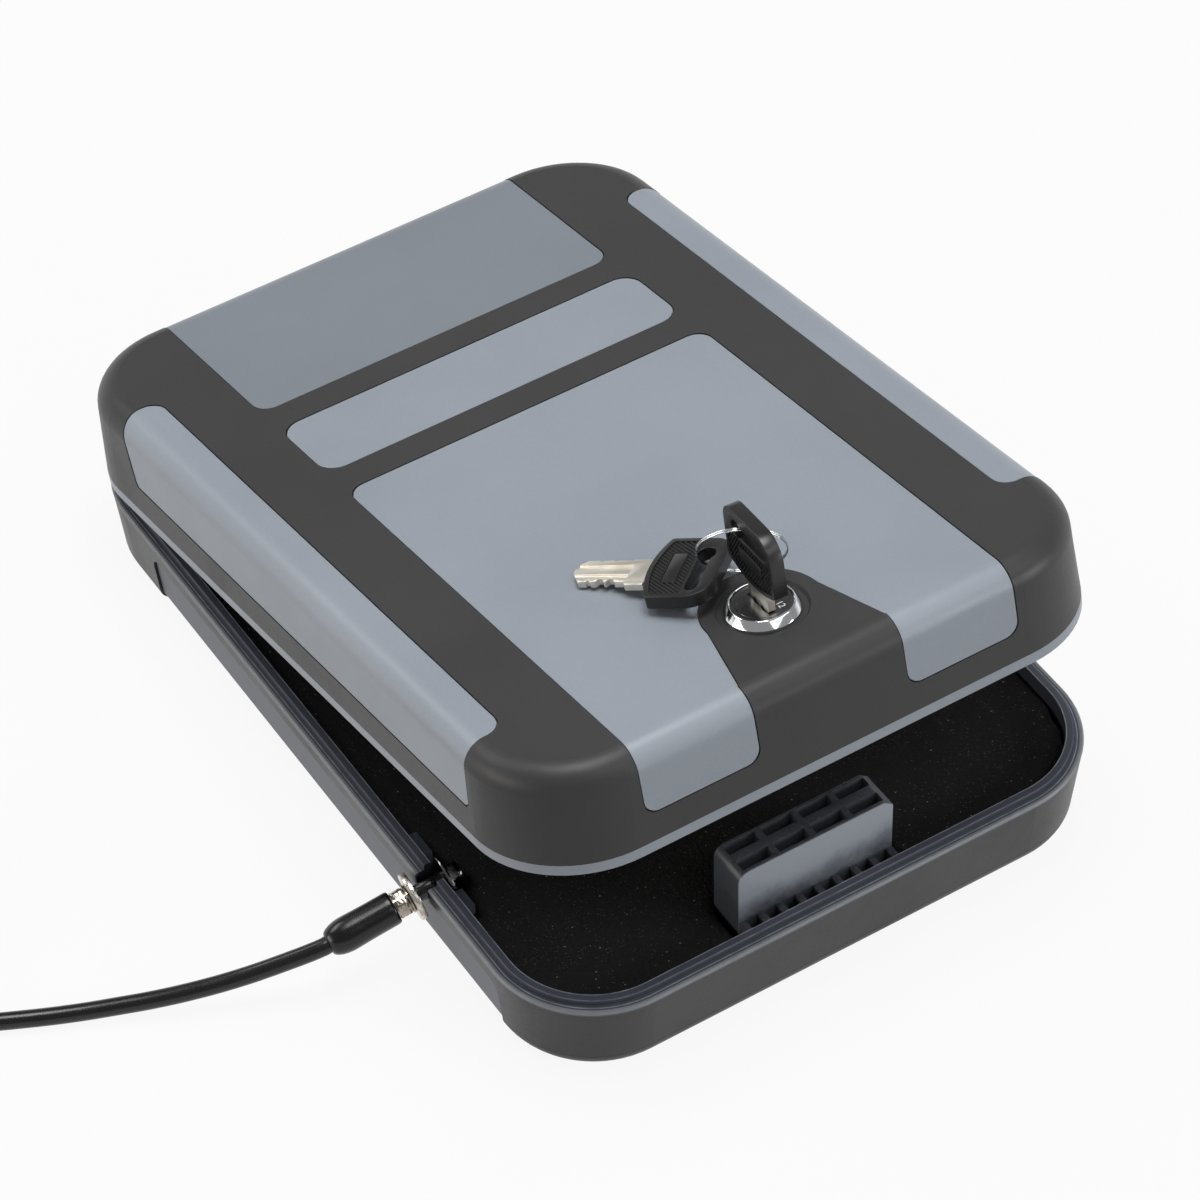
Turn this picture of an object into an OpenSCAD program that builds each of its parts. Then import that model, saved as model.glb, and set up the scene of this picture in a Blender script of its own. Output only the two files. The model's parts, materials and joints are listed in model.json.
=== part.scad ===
// Portable lock box with a hinged lid, a cam lock with two keys and a tether cable.
// Origin: middle of the underside. +X right, +Y towards the hinge, +Z up.
// Lid pieces are drawn closed and then turned about the hinge pin by lid_open.

/* [Box] */
// Width across the front
box_w = 178; // [168:1:196]
// Length from front to back
box_l = 256; // [244:1:276]
// Radius of the upright corners
corner_r = 30; // [27:1:34]
// Height of the base up to its ledge
base_h = 25.5; // [24:0.5:30]
// Height of the lid above the ledge
lid_h = 29.9; // [28:0.1:34]
// Opening of the lid in the modelled pose
lid_open = 11.5; // [0:0.5:70]

/* [Walls] */
// Wall of the hard shells
shell_wall = 2.4; // [2:0.1:2.8]
// Thickness of the soft overmould
skin = 1.4; // [1.2:0.1:1.7]
// Gap between an overmould window and the pad in it
window_gap = 0.3; // [0.2:0.05:0.5]
// Thickness of the floor of the base
floor_t = 2.6; // [2:0.1:3.4]
// Radius along the upper edge of the lid
lid_edge_r = 7; // [6:0.5:8]
// Radius along the lower edge of the base
base_edge_r = 5.5; // [4.5:0.5:6.5]
// Taper of the base wall towards the floor
base_draft = 2; // [1:0.25:2.5]
// Taper of the lid wall towards the top
lid_draft = 1.2; // [0.8:0.1:1.6]

/* [Rim] */
// Width of the flat ledge that the lid closes on
ledge_w = 2.8; // [2.6:0.1:3.2]
// Thickness of the raised tongue inside the ledge
tongue_t = 2; // [1.6:0.1:2.4]
// Height of the tongue above the ledge
tongue_h = 1.8; // [1.4:0.1:2.4]
// Height of the bare shell strip round the foot of the lid
flange_h = 3; // [2.5:0.1:3.6]
// Clearance between parts that slide or close on each other
fit_gap = 0.3; // [0.2:0.05:0.4]

/* [Windows] */
// Half width of the long windows in the top
window_x = 56.2; // [52:0.2:58]
// Front edge of the rear window
rear_window_y = 65.8; // [64:0.2:72]
// Rear edge of the plate window
plate_rear_y = 56; // [52:0.5:60]
// Front edge of the plate window
plate_front_y = 28.6; // [24:0.2:34]
// Rear edge of the main window
main_window_y = 18.5; // [12:0.5:22]
// Inner edge of the side windows
side_window_x = 74.8; // [72:0.2:77]
// Lower edge of the windows in the lid wall
window_z = 36.3; // [35:0.1:40]
// Half width of the lock island where it meets the front
island_x = 22; // [20:0.5:26]

/* [Hinge] */
// Distance of the hinge pin from the rear face
hinge_in = 5.6; // [5.4:0.1:6.4]
// Depth of the hinge pin below the ledge
hinge_drop = 1.6; // [1.2:0.1:2]
// Radius of the hinge knuckles
knuckle_r = 5.3; // [4.6:0.1:5.4]
// Diameter of the hinge pin
pin_d = 2.6; // [2:0.1:3.4]

/* [Lock] */
// Distance of the lock from the front face
lock_in = 30.5; // [29:0.5:34]
// Diameter of the lock flange
flange_d = 20.2; // [19:0.2:21]
// Diameter of the lock barrel
barrel_d = 16.4; // [15.6:0.1:17.2]
// Diameter of the turning plug
plug_d = 12.2; // [11.2:0.1:12.8]
// Depth of the lock below the lid surface
lock_depth = 19.2; // [18:0.2:20]
// Reach of the cam from the lock axis
cam_reach = 16.5; // [15:0.5:17.5]
// Thickness of the cam
cam_t = 2; // [1.6:0.1:2.4]

/* [Keeper] */
// Width of the keeper block
keeper_w = 47.5; // [44:0.5:52]
// Depth of the keeper block
keeper_d = 11.6; // [11:0.2:12]
// Top of the keeper block
keeper_top = 43.7; // [42:0.1:45]

/* [Foam] */
// Top of the foam in the base
base_foam_top = 22; // [18:0.5:22]
// Thickness of the foam in the lid
lid_foam_t = 6; // [4:0.5:8]

/* [Keys] */
// Width of a key head
head_w = 25; // [23:0.5:26]
// Thickness of a key head
head_t = 3.8; // [3.6:0.1:4.6]
// Width of a key blade
blade_w = 8.6; // [8:0.1:9]
// Thickness of a key blade
blade_t = 2; // [1.8:0.1:2.2]
// Length of a key blade below its head
blade_l = 20.7; // [19:0.1:22]

/* [Cable] */
// Diameter of the cable over its sheath
cable_d = 4.8; // [4.4:0.1:5.2]
// Diameter of the washers on the cable end
washer_d = 13.4; // [13:0.1:13.6]
// Diameter of the steel ferrule
ferrule_d = 8; // [7.6:0.1:8.2]
// Diameter of the sleeve over the ferrule
sleeve_d = 9.2; // [8.8:0.1:9.6]

/* [Hidden] */
$fn = 96;
eps = 0.01;
far = 400;

gray = [0.53, 0.56, 0.61];
dark = [0.24, 0.24, 0.25];
foam = [0.07, 0.07, 0.07];
steel = [0.74, 0.73, 0.70];
black = [0.1, 0.1, 0.1];

lid_top = base_h + lid_h;
hinge_y = box_l / 2 - hinge_in;
hinge_z = base_h - hinge_drop;
lock_y = -box_l / 2 + lock_in;
rim_in = ledge_w + tongue_t;
shell_top = lid_top - skin;
ceiling_z = shell_top - shell_wall;

// Turns what is drawn on the closed lid into the modelled pose
module on_lid() {
    translate([0, hinge_y, hinge_z]) rotate([-lid_open, 0, 0]) translate([0, -hinge_y, -hinge_z]) children();
}

// Round-cornered outline of the box, moved inwards by d
module outline(d) {
    r = corner_r - d;
    square([box_w - 2 * d - 2 * r, box_l - 2 * d], center = true);
    square([box_w - 2 * d, box_l - 2 * d - 2 * r], center = true);
    for (sx = [-1, 1], sy = [-1, 1])
        translate([sx * (box_w / 2 - corner_r), sy * (box_l / 2 - corner_r)]) circle(r);
}

// Sweeps a section round the outline; x of the section is measured outwards from the box outline
module loop_sweep() {
    for (k = [0:3]) {
        across = k % 2 == 0 ? box_w : box_l;
        along = k % 2 == 0 ? box_l : box_w;
        rotate([0, 0, 90 * k]) translate([across / 2 - corner_r, 0, 0]) {
            rotate([90, 0, 0])
                linear_extrude(along - 2 * corner_r, center = true) translate([corner_r, 0]) children();
            translate([0, along / 2 - corner_r, 0])
                rotate_extrude(angle = 90) translate([corner_r, 0]) children();
        }
    }
}

// Fills the middle that a solid loop_sweep leaves open
module core_block(z0, z1) {
    translate([0, 0, (z0 + z1) / 2])
        cube([box_w - 2 * corner_r, box_l - 2 * corner_r, z1 - z0], center = true);
}

// Section of the lid from z0 up, moved inwards by d
module lid_section(d, z0) {
    r = lid_edge_r - d;
    top = lid_top - d;
    knee = lid_top - lid_edge_r;
    polygon([[-corner_r, z0], [-d, z0], [-d, base_h + flange_h], [-lid_draft - d, knee], [-corner_r, knee]]);
    translate([-corner_r, knee - eps]) square([corner_r - lid_draft - lid_edge_r, top - knee + eps]);
    intersection() {
        translate([-lid_draft - lid_edge_r, knee]) circle(r);
        translate([-lid_draft - lid_edge_r - eps, knee - eps]) square(lid_edge_r);
    }
}

// Solid of the lid, moved inwards by d
module lid_form(d, z0) {
    loop_sweep() lid_section(d, z0);
    core_block(z0, lid_top - d);
}

// Section of the base up to z1, moved inwards by d
module base_section(d, z1) {
    r = base_edge_r - d;
    polygon([[-corner_r, base_edge_r], [-base_draft - d, base_edge_r],
        [-d - base_draft * (base_h - z1) / (base_h - base_edge_r), z1], [-corner_r, z1]]);
    translate([-corner_r, d]) square([corner_r - base_draft - base_edge_r, base_edge_r - d + eps]);
    intersection() {
        translate([-base_draft - base_edge_r, base_edge_r]) circle(r);
        translate([-base_draft - base_edge_r - eps, 0]) square([base_edge_r, base_edge_r + eps]);
    }
}

// Solid of the base, moved inwards by d
module base_form(d, z1) {
    loop_sweep() base_section(d, z1);
    core_block(d, z1);
}

// Rectangle from a to b with corners of radius r
module round_rect(a, b, r) {
    translate([a.x + r, a.y]) square([b.x - a.x - 2 * r, b.y - a.y]);
    translate([a.x, a.y + r]) square([b.x - a.x, b.y - a.y - 2 * r]);
    for (x = [a.x + r, b.x - r], y = [a.y + r, b.y - r]) translate([x, y]) circle(r);
}

// Extrusions that look along one axis and pass right through the box
module seen_from_top(z0) {
    translate([0, 0, z0]) linear_extrude(far) children();
}
module seen_from_front(y0, y1) {
    translate([0, y1, 0]) rotate([90, 0, 0]) linear_extrude(y1 - y0) children();
}
module seen_from_side(x0, x1) {
    translate([x0, 0, 0]) rotate([90, 0, 90]) linear_extrude(x1 - x0) children();
}

window_r = 5;
foot_r = 4;
foot_cut = 1.2;
plate_r = 6;
side_front_in = 32;
side_rear_in = 43;
side_front_y = -box_l / 2 + side_front_in;
side_rear_y = box_l / 2 - side_rear_in;
side_top_rear_y = side_rear_y + 6;
island_r = 16.2;

// Dark island round the lock, grown by g
module island(g) {
    translate([0, lock_y]) circle(island_r + g);
    polygon([[-island_r - g, lock_y], [-island_x - g, -box_l / 2 + 7], [-island_x - g, -far],
        [island_x + g, -far], [island_x + g, -box_l / 2 + 7], [island_r + g, lock_y]]);
}

// Windows of the lid overmould, drawn in by g to leave the pads their gap
module lid_windows(g) {
    x = window_x - g;
    z = window_z + g;
    // Rear window wraps down the rear wall
    intersection() {
        seen_from_top(0) round_rect([-x, rear_window_y + g], [x, far], window_r);
        seen_from_front(0, far) round_rect([-x, z], [x, far], foot_r);
    }
    // Plate window
    seen_from_top(shell_top - skin)
        round_rect([-x, plate_front_y + g], [x, plate_rear_y - g], plate_r);
    // Main window wraps down the front wall on both sides of the lock island
    difference() {
        intersection() {
            seen_from_top(0) round_rect([-x, -far], [x, main_window_y - g], window_r);
            union() {
                seen_from_front(-far, far) round_rect([-x, z], [-island_x - g, far], foot_r);
                seen_from_front(-far, far) round_rect([island_x + g, z], [x, far], foot_r);
                translate([-x, -box_l / 2 + 8, lid_top - lid_edge_r]) cube([2 * x, far, far]);
            }
        }
        seen_from_top(0) island(g);
    }
    // Side windows wrap down the side walls
    for (s = [0, 1]) mirror([s, 0, 0]) intersection() {
        seen_from_top(0)
            round_rect([side_window_x + g, side_front_y + g], [far, side_top_rear_y - g], window_r);
        seen_from_side(0, far) polygon([
            [side_front_y + g, z + foot_cut], [side_front_y + g + foot_cut, z],
            [side_rear_y - g - foot_cut, z], [side_rear_y - g, z + foot_cut],
            [side_top_rear_y - g, lid_top], [side_top_rear_y - g, far], [side_front_y + g, far]]);
    }
}

base_front_in = 30;
base_rear_in = 44;
base_window_front = -box_l / 2 + base_front_in;
base_window_rear = box_l / 2 - base_rear_in;
base_window_top = 20;

// Windows in the side walls of the base
module base_windows(g) {
    for (s = [0, 1]) mirror([s, 0, 0])
        seen_from_side(box_w / 2 - corner_r / 2, far)
            round_rect([base_window_front + g, -far], [base_window_rear - g, base_window_top - g], window_r);
}

// Hinge: three knuckles on the lid and two on the base, on one pin
knuckle_edges = [13, 38, 74];
swing_x = knuckle_edges[2] + 3.5;
swing_floor = hinge_z - knuckle_r - 2 * fit_gap;
beam_y = hinge_y - knuckle_r - fit_gap - shell_wall - 0.6;
pin_half = knuckle_edges[2] - 5;

module along_hinge(x0, x1) {
    translate([x0, hinge_y, hinge_z]) rotate([90, 0, 90]) linear_extrude(x1 - x0) children();
}
module lid_knuckle_spans(g) {
    for (s = [-1, 1])
        along_hinge(min(s * (knuckle_edges[1] - g), s * (knuckle_edges[2] + g)),
            max(s * (knuckle_edges[1] - g), s * (knuckle_edges[2] + g))) children();
    along_hinge(-knuckle_edges[0] - g, knuckle_edges[0] + g) children();
}
module base_knuckle_spans(g) {
    for (s = [-1, 1])
        along_hinge(min(s * (knuckle_edges[0] - g), s * (knuckle_edges[1] + g)),
            max(s * (knuckle_edges[0] - g), s * (knuckle_edges[1] + g))) children();
}

// Room in the base for the lid knuckles and for the rear wall of the lid as it swings back
module hinge_room() {
    along_hinge(-swing_x, swing_x) circle(knuckle_r + fit_gap);
    translate([-swing_x, hinge_y, swing_floor]) cube([2 * swing_x, far, far]);
    translate([-swing_x, hinge_y - knuckle_r - fit_gap, hinge_z])
        cube([2 * swing_x, knuckle_r + fit_gap + eps, far]);
}

// Keeper and cable positions
keeper_x0 = -28;
keeper_x1 = keeper_x0 + keeper_w;
keeper_in = 9.4;
screw_in = 9;
screw_deep = 12;
keeper_y0 = -box_l / 2 + keeper_in;
keeper_y1 = keeper_y0 + keeper_d;
screw_xs = [keeper_x0 + screw_in, keeper_x1 - screw_in];
screw_y = (keeper_y0 + keeper_y1) / 2;
screw_r = 1.6;
screw_head_r = 3.4;
cable_y = -62;
cable_z = 21.2;
neck_d = cable_d;
notch_r = neck_d / 2 + 0.8;
notch_rise = 0.9;
notch_shift = 0.4;
clip_t = 3.2;
clip_room = 4.4;
clip_spans = [[-76, -69.4], [-54.6, -46.5]];

// Tray of the base: floor, walls, ledge, tongue, hinge beam, knuckles and cable clips
module base_shell() color(gray) {
    difference() {
        union() {
            difference() {
                union() {
                    base_form(skin, base_h);
                    linear_extrude(skin + eps) outline(base_draft + base_edge_r + 1.5);
                    loop_sweep() polygon([[-rim_in, base_h - 1.3], [-0.1, base_h - 1.3], [0, base_h - 0.5],
                        [-0.5, base_h], [-rim_in, base_h]]);
                    loop_sweep() translate([-rim_in, base_h - eps]) square([tongue_t, tongue_h + eps]);
                    intersection() {
                        base_form(0.7, base_window_top);
                        base_windows(window_gap);
                    }
                }
                difference() {
                    translate([0, 0, floor_t]) linear_extrude(far) outline(rim_in);
                    translate([-swing_x - shell_wall, beam_y, 0])
                        cube([2 * (swing_x + shell_wall), far, base_h]);
                }
            }
            for (span = clip_spans)
                translate([-box_w / 2 + rim_in - eps, span[0], floor_t - eps])
                    cube([clip_t, span[1] - span[0], base_h - floor_t - 0.5]);
        }
        hinge_room();
        cable_notch();
        keeper_screw_holes();
        along_hinge(-pin_half - fit_gap, pin_half + fit_gap) circle(pin_d / 2 + 0.1);
    }
    difference() {
        union() {
            base_knuckle_spans(-fit_gap / 2) circle(knuckle_r);
            base_knuckle_spans(-fit_gap / 2)
                polygon([[-knuckle_r, swing_floor - hinge_z - 1], [-knuckle_r, 0], [0, 0],
                    [0.5, swing_floor - hinge_z - 1]]);
        }
        along_hinge(-far / 2, far / 2) circle(pin_d / 2 + 0.1);
    }
}

// Open-topped slot in the left wall for the cable end
module cable_notch() {
    translate([-box_w / 2 - 5, cable_y - notch_shift, cable_z + notch_rise]) {
        rotate([0, 90, 0]) cylinder(r = notch_r, h = rim_in + 6);
        translate([0, -notch_r, 0]) cube([rim_in + 6, 2 * notch_r, far]);
    }
}

module keeper_screw_holes() {
    for (x = screw_xs) translate([x, screw_y, -eps]) {
        cylinder(r = screw_r + 0.1, h = far);
        cylinder(r = screw_head_r + 0.1, h = 1.2);
    }
}

// Soft wrap over the walls of the base, open at the side windows
module base_overmould() color(dark) {
    difference() {
        base_form(0, base_h - 1.3 - 0.1);
        base_form(skin, base_h);
        translate([0, 0, -eps]) linear_extrude(0.3) outline(-1);
        linear_extrude(3 * skin) outline(base_draft + base_edge_r + 1.2);
        base_windows(0);
        hinge_room();
        cable_notch();
    }
}

// Foam bed of the base, cut out round the keeper, the clips and the hinge beam
module base_foam() color(foam) {
    difference() {
        translate([0, 0, floor_t]) linear_extrude(base_foam_top - floor_t) outline(rim_in + fit_gap);
        translate([keeper_x0 - 1, -far, 0]) cube([keeper_w + 2, far + keeper_y1 + 1, far]);
        translate([-far / 2, beam_y - fit_gap, 0]) cube(far);
        translate([-far, clip_spans[0][0] - 1, 0])
            cube([far - box_w / 2 + rim_in + clip_t + clip_room, clip_spans[1][1] - clip_spans[0][0] + 2, far]);
    }
}

cell_cols = 4;
cell_rows = 2;
cell_w = 9.6;
cell_d = 3.4;
cell_depth = 5.6;
comb_ribs = 9;
comb_rib_w = 2.1;
comb_h = 5;
slot_drop = 12;
slot_z0 = keeper_top - slot_drop;
slot_h = 5.2;
slot_depth = keeper_d - 3.4;
slot_in = 17;
slot_x0 = keeper_x0 + slot_in;
cell_front = 1.3;
cell_back = 0.8;
keeper_round = 3.4;
keeper_cut = [2.8, 2.2];

// Block that the cam turns under, with its cells on top and the comb at its foot
module latch_keeper() color(gray) {
    front = box_l / 2 - rim_in - 0.1;
    difference() {
        translate([0, keeper_y1, 0]) rotate([90, 0, 0]) linear_extrude(keeper_d) difference() {
            translate([keeper_x0, floor_t]) square([keeper_w, keeper_top - floor_t]);
            translate([keeper_x0, keeper_top]) difference() {
                square(2 * keeper_round, center = true);
                translate([keeper_round, -keeper_round]) circle(keeper_round);
            }
            translate([keeper_x1, keeper_top])
                polygon([[-keeper_cut.x, 0], [0, -keeper_cut.y], [eps, -keeper_cut.y], [eps, eps],
                    [-keeper_cut.x, eps]]);
        }
        for (c = [0:cell_cols - 1], r = [0:cell_rows - 1]) {
            pitch_x = (keeper_w - 2.6) / cell_cols;
            pitch_y = (keeper_d - cell_front - cell_back - cell_d) / (cell_rows - 1);
            translate([keeper_x0 + 1.3 + (c + 0.5) * pitch_x, keeper_y0 + cell_front + cell_d / 2 + r * pitch_y,
                keeper_top - cell_depth / 2]) cube([cell_w, cell_d, cell_depth + 2 * eps], center = true);
        }
        translate([slot_x0, keeper_y1 - slot_depth, slot_z0]) cube([far, far, slot_h]);
        for (x = screw_xs) translate([x, screw_y, 0]) cylinder(r = screw_r, h = floor_t + screw_deep);
    }
    for (i = [0:comb_ribs - 1]) {
        x = keeper_x0 + i * (keeper_w - comb_rib_w) / (comb_ribs - 1);
        translate([x, -front, base_h - comb_h]) cube([comb_rib_w, front + keeper_y0 + eps, comb_h]);
    }
}

module keeper_screws() color(steel) {
    for (x = screw_xs) translate([x, screw_y, 0.2]) {
        cylinder(r = screw_r - 0.05, h = floor_t + screw_deep - 3);
        cylinder(r = screw_head_r, h = 0.9);
    }
}

module hinge_pin() color(steel) {
    along_hinge(-pin_half, pin_half) circle(pin_d / 2);
}

dish_r = 12.3;
dish_depth = 0.9;
seat_z = lid_top - dish_depth;
barrel_hole_r = barrel_d / 2 + 0.15;

// Hard shell of the lid: skirt, ceiling, raised pads in the windows and hinge knuckles
module lid_shell() color(gray) on_lid() {
    difference() {
        union() {
            lid_form(skin, base_h);
            intersection() {
                lid_form(0.15, base_h + flange_h);
                lid_windows(window_gap);
            }
            loop_sweep() translate([-ledge_w + fit_gap, base_h]) square([ledge_w - fit_gap, flange_h]);
            intersection() {
                lid_knuckle_spans(-fit_gap / 2) circle(knuckle_r);
                seen_from_top(0) outline(0);
            }
            intersection() {
                lid_knuckle_spans(-fit_gap / 2) translate([0, 0]) square([hinge_in, knuckle_r]);
                seen_from_top(0) outline(0);
            }
        }
        // Room under the ceiling
        difference() {
            union() {
                translate([0, 0, base_h + flange_h]) linear_extrude(ceiling_z - base_h - flange_h)
                    outline(skin + shell_wall + lid_draft);
                translate([0, 0, base_h - eps]) linear_extrude(flange_h + 2 * eps) outline(ledge_w - fit_gap);
            }
            intersection() {
                lid_knuckle_spans(-fit_gap / 2) circle(knuckle_r);
                seen_from_top(0) outline(0);
            }
        }
        base_knuckle_spans(fit_gap / 2) circle(knuckle_r + fit_gap);
        along_hinge(-pin_half - fit_gap, pin_half + fit_gap) circle(pin_d / 2 + 0.1);
        translate([0, lock_y, 0]) cylinder(r = barrel_hole_r, h = far);
    }
}

// Soft wrap over the lid, with a window for each pad and a dish for the lock
module lid_overmould() color(dark) on_lid() {
    difference() {
        lid_form(0, base_h + flange_h + 0.1);
        lid_form(skin, 0);
        lid_windows(0);
        base_knuckle_spans(fit_gap / 2) circle(knuckle_r + fit_gap);
        translate([0, lock_y, 0]) cylinder(r = barrel_hole_r, h = far);
        translate([0, lock_y, seat_z]) cylinder(r1 = dish_r - 0.6, r2 = dish_r + 0.1, h = dish_depth + 0.1);
    }
}

// Turn of the plug and its key in the modelled pose, clockwise seen from above
plug_turn = 5;

// Puts what is drawn round the lock axis in its place on the lid
module on_plug() {
    on_lid() translate([0, lock_y, 0]) rotate([0, 0, -plug_turn]) children();
}

nut_r = 12.6;
nut_t = 4;

// Foam under the ceiling of the lid, cut out for the lock and the keeper
module lid_foam() color(foam) on_lid() {
    difference() {
        translate([0, 0, ceiling_z - lid_foam_t]) linear_extrude(lid_foam_t)
            outline(skin + shell_wall + lid_draft + fit_gap);
        translate([0, lock_y, 0]) cylinder(r = nut_r + 1.5, h = far);
        translate([keeper_x0 - 2, -far, 0]) cube([keeper_w + 4, far + keeper_y1 + 2, far]);
    }
}

rose_h = 2.9;
bevel_h = 1.9;
plug_head_r = 8.1;
plug_head_t = 1.4;
barrel_z0 = lid_top - lock_depth;

// Housing of the cam lock: bevelled flange and round barrel, bored for the plug
module lock_housing() color(steel) on_lid() translate([0, lock_y, 0]) {
    difference() {
        union() {
            translate([0, 0, barrel_z0]) cylinder(d = barrel_d, h = seat_z - barrel_z0 + eps);
            translate([0, 0, seat_z]) cylinder(d = flange_d, h = rose_h - bevel_h);
            translate([0, 0, seat_z + rose_h - bevel_h])
                cylinder(r1 = flange_d / 2, r2 = plug_head_r + 0.5, h = bevel_h);
        }
        translate([0, 0, barrel_z0 - 1]) cylinder(d = plug_d + 0.2, h = far);
        translate([0, 0, seat_z + rose_h - plug_head_t]) cylinder(r = plug_head_r + 0.15, h = far);
    }
}

module lock_nut() color(steel) on_lid() translate([0, lock_y, ceiling_z - nut_t - 0.1]) {
    difference() {
        cylinder(r = nut_r, h = nut_t, $fn = 6);
        translate([0, 0, -eps]) cylinder(d = barrel_d + 0.2, h = nut_t + 1);
    }
}

plug_face_z = seat_z + rose_h - 0.1;
drive_w = 6;
cam_z1 = barrel_z0 - 0.4;
cam_z0 = cam_z1 - cam_t;
cam_w = 9;
keyway_deep = 18.5;
keyway_z0 = plug_face_z - keyway_deep;

// Turning plug with its keyway; a square drive below carries the cam
module lock_plug() color(steel) on_plug() {
    difference() {
        union() {
            translate([0, 0, barrel_z0 - 0.2]) cylinder(d = plug_d, h = plug_face_z - barrel_z0 + 0.2);
            translate([0, 0, plug_face_z - plug_head_t + 0.3]) cylinder(r = plug_head_r, h = plug_head_t - 0.3);
            translate([0, 0, (cam_z0 + barrel_z0) / 2])
                cube([drive_w, drive_w, barrel_z0 - cam_z0], center = true);
        }
        translate([-blade_t / 2 - 0.25, -blade_w / 2 - 0.25, keyway_z0])
            cube([blade_t + 0.5, blade_w + 0.5, far]);
        translate([0, 0, cam_z0 - 1]) cylinder(r = 1.7, h = 4.5);
    }
}

// Cam that points to the right when unlocked and turns forwards under the keeper
module lock_cam() color(steel) on_plug() translate([0, 0, cam_z0]) {
    difference() {
        union() {
            cylinder(d = cam_w + 4, h = cam_t);
            translate([0, -cam_w / 2, 0]) cube([cam_reach - cam_w / 2, cam_w, cam_t]);
            translate([cam_reach - cam_w / 2, 0, 0]) cylinder(d = cam_w, h = cam_t);
        }
        translate([-drive_w / 2 - 0.1, -drive_w / 2 - 0.1, -eps])
            cube([drive_w + 0.2, drive_w + 0.2, cam_t + 1]);
    }
}

module cam_screw() color(steel) on_plug() {
    translate([0, 0, cam_z0 - 1.9]) difference() {
        cylinder(r = 4.4, h = 1.8);
        translate([0, 0, -eps]) cylinder(r = 1.7, h = 1, $fn = 6);
    }
    translate([0, 0, cam_z0 - 0.2]) cylinder(r = 1.6, h = 3.2);
}

// Keys are drawn along +X towards the tip, width along Y, thickness along Z, head centred on the origin
head_l = 19.4;
head_r = 4.6;
head_far_r = 7;
head_arc_r = 30;
slot_x = -head_l / 2 + 5.4;
hole_y = 5.8;
hole_r = 2.5;
slot_half = 1.65;
slot_end_y = -8.2;
tang_l = 8;
grip_recess = 0.35;

// Outline of a head: the corner beyond the slot is rounder than the one by the ring hole
module head_outline(d) {
    back = -head_l / 2 + d;
    half = head_w / 2 - d;
    near_r = head_r - d;
    far_r = head_far_r - d;
    intersection() {
        union() {
            translate([back + far_r, -half]) square([far, 2 * half]);
            translate([back + near_r, -half + far_r]) square([far, 2 * half - far_r]);
            translate([back, -half + far_r]) square([far, 2 * half - far_r - near_r]);
            translate([back + far_r, -half + far_r]) circle(far_r);
            translate([back + near_r, half - near_r]) circle(near_r);
        }
        translate([head_l / 2 - head_arc_r, 0]) circle(head_arc_r - d);
    }
}

module key_head_shape() {
    difference() {
        translate([0, 0, -head_t / 2]) linear_extrude(head_t) difference() {
            head_outline(0);
            translate([slot_x, hole_y]) circle(hole_r);
            translate([slot_x - slot_half, slot_end_y]) square([2 * slot_half, hole_y - slot_end_y]);
            translate([slot_x, slot_end_y]) circle(slot_half);
        }
        for (s = [0, 1]) mirror([0, 0, s]) translate([0, 0, head_t / 2 - grip_recess])
            linear_extrude(1) intersection() {
                head_outline(1);
                translate([slot_x + 3.4, -far / 2]) square(far);
            }
        translate([head_l / 2 - tang_l, -blade_w / 2 - 0.05, -blade_t / 2 - 0.05])
            cube([far, blade_w + 0.1, blade_t + 0.1]);
    }
}

// Notches in the lower edge: distance from the head and depth
bites = [[9.6, 1.2], [12.5, 1.2], [15.7, 0.6]];
shoulder_drop = 1.5;
shoulder_rise = 0.3;
groove_w = 1.3;
groove_deep = 0.45;

module key_blade_shape() {
    x0 = head_l / 2 - tang_l + 0.1;
    tip = head_l / 2 + blade_l;
    shoulder_x0 = head_l / 2 + 0.1;
    shoulder_x1 = head_l / 2 + key_lift - 0.2;
    difference() {
        translate([0, 0, -blade_t / 2]) linear_extrude(blade_t) difference() {
            union() {
                polygon([[x0, -blade_w / 2], [tip - 2.2, -blade_w / 2], [tip, -1], [tip, 1],
                    [tip - 2.6, blade_w / 2], [x0, blade_w / 2]]);
                translate([shoulder_x0, -blade_w / 2 - shoulder_drop])
                    square([shoulder_x1 - shoulder_x0, blade_w + shoulder_drop + shoulder_rise]);
            }
            for (b = bites) translate([head_l / 2 + b[0], -blade_w / 2])
                polygon([[-b[1], -eps], [-0.4, b[1]], [0.4, b[1]], [b[1], -eps]]);
        }
        for (f = [0, 1], y = [-2.2, 1.6]) mirror([0, 0, f])
            translate([head_l / 2 + 5, y - groove_w / 2, blade_t / 2 - groove_deep])
                cube([far, groove_w, 1]);
    }
}

key_lift = 5.7;
head_z = plug_face_z + key_lift + head_l / 2;

// Places a key upright in the lock, tip down
module in_lock() {
    on_plug() translate([0, 0, head_z]) rotate([0, 90, 0]) children();
}

spare_x = -10.1;
spare_behind = 19;
spare_y = lock_y + spare_behind;
spare_turn = 130.1;
spare_tilt = 7.3;
spare_rise = 4.95;

// Lays the spare key on the lid, tip down and its head lifted by the ring
module on_top() {
    on_lid() translate([spare_x, spare_y, lid_top + spare_rise])
        rotate([0, 0, spare_turn]) rotate([180, spare_tilt, 0]) children();
}

module key_head() color(black) in_lock() key_head_shape();
module key_blade() color(steel) in_lock() key_blade_shape();
module spare_head() color(black) on_top() key_head_shape();
module spare_blade() color(steel) on_top() key_blade_shape();

ring_r = 11.6;
wire_r = 0.55;
ring_behind = 10.5;
ring_over = 11;
ring_at = [2, lock_y + ring_behind, lid_top + ring_over];

// Ring through the round holes of both key heads
module key_ring() color(steel)
    on_lid() translate(ring_at) rotate([0, 63, 56.9])
        rotate_extrude() translate([ring_r, 0]) circle(wire_r);

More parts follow.
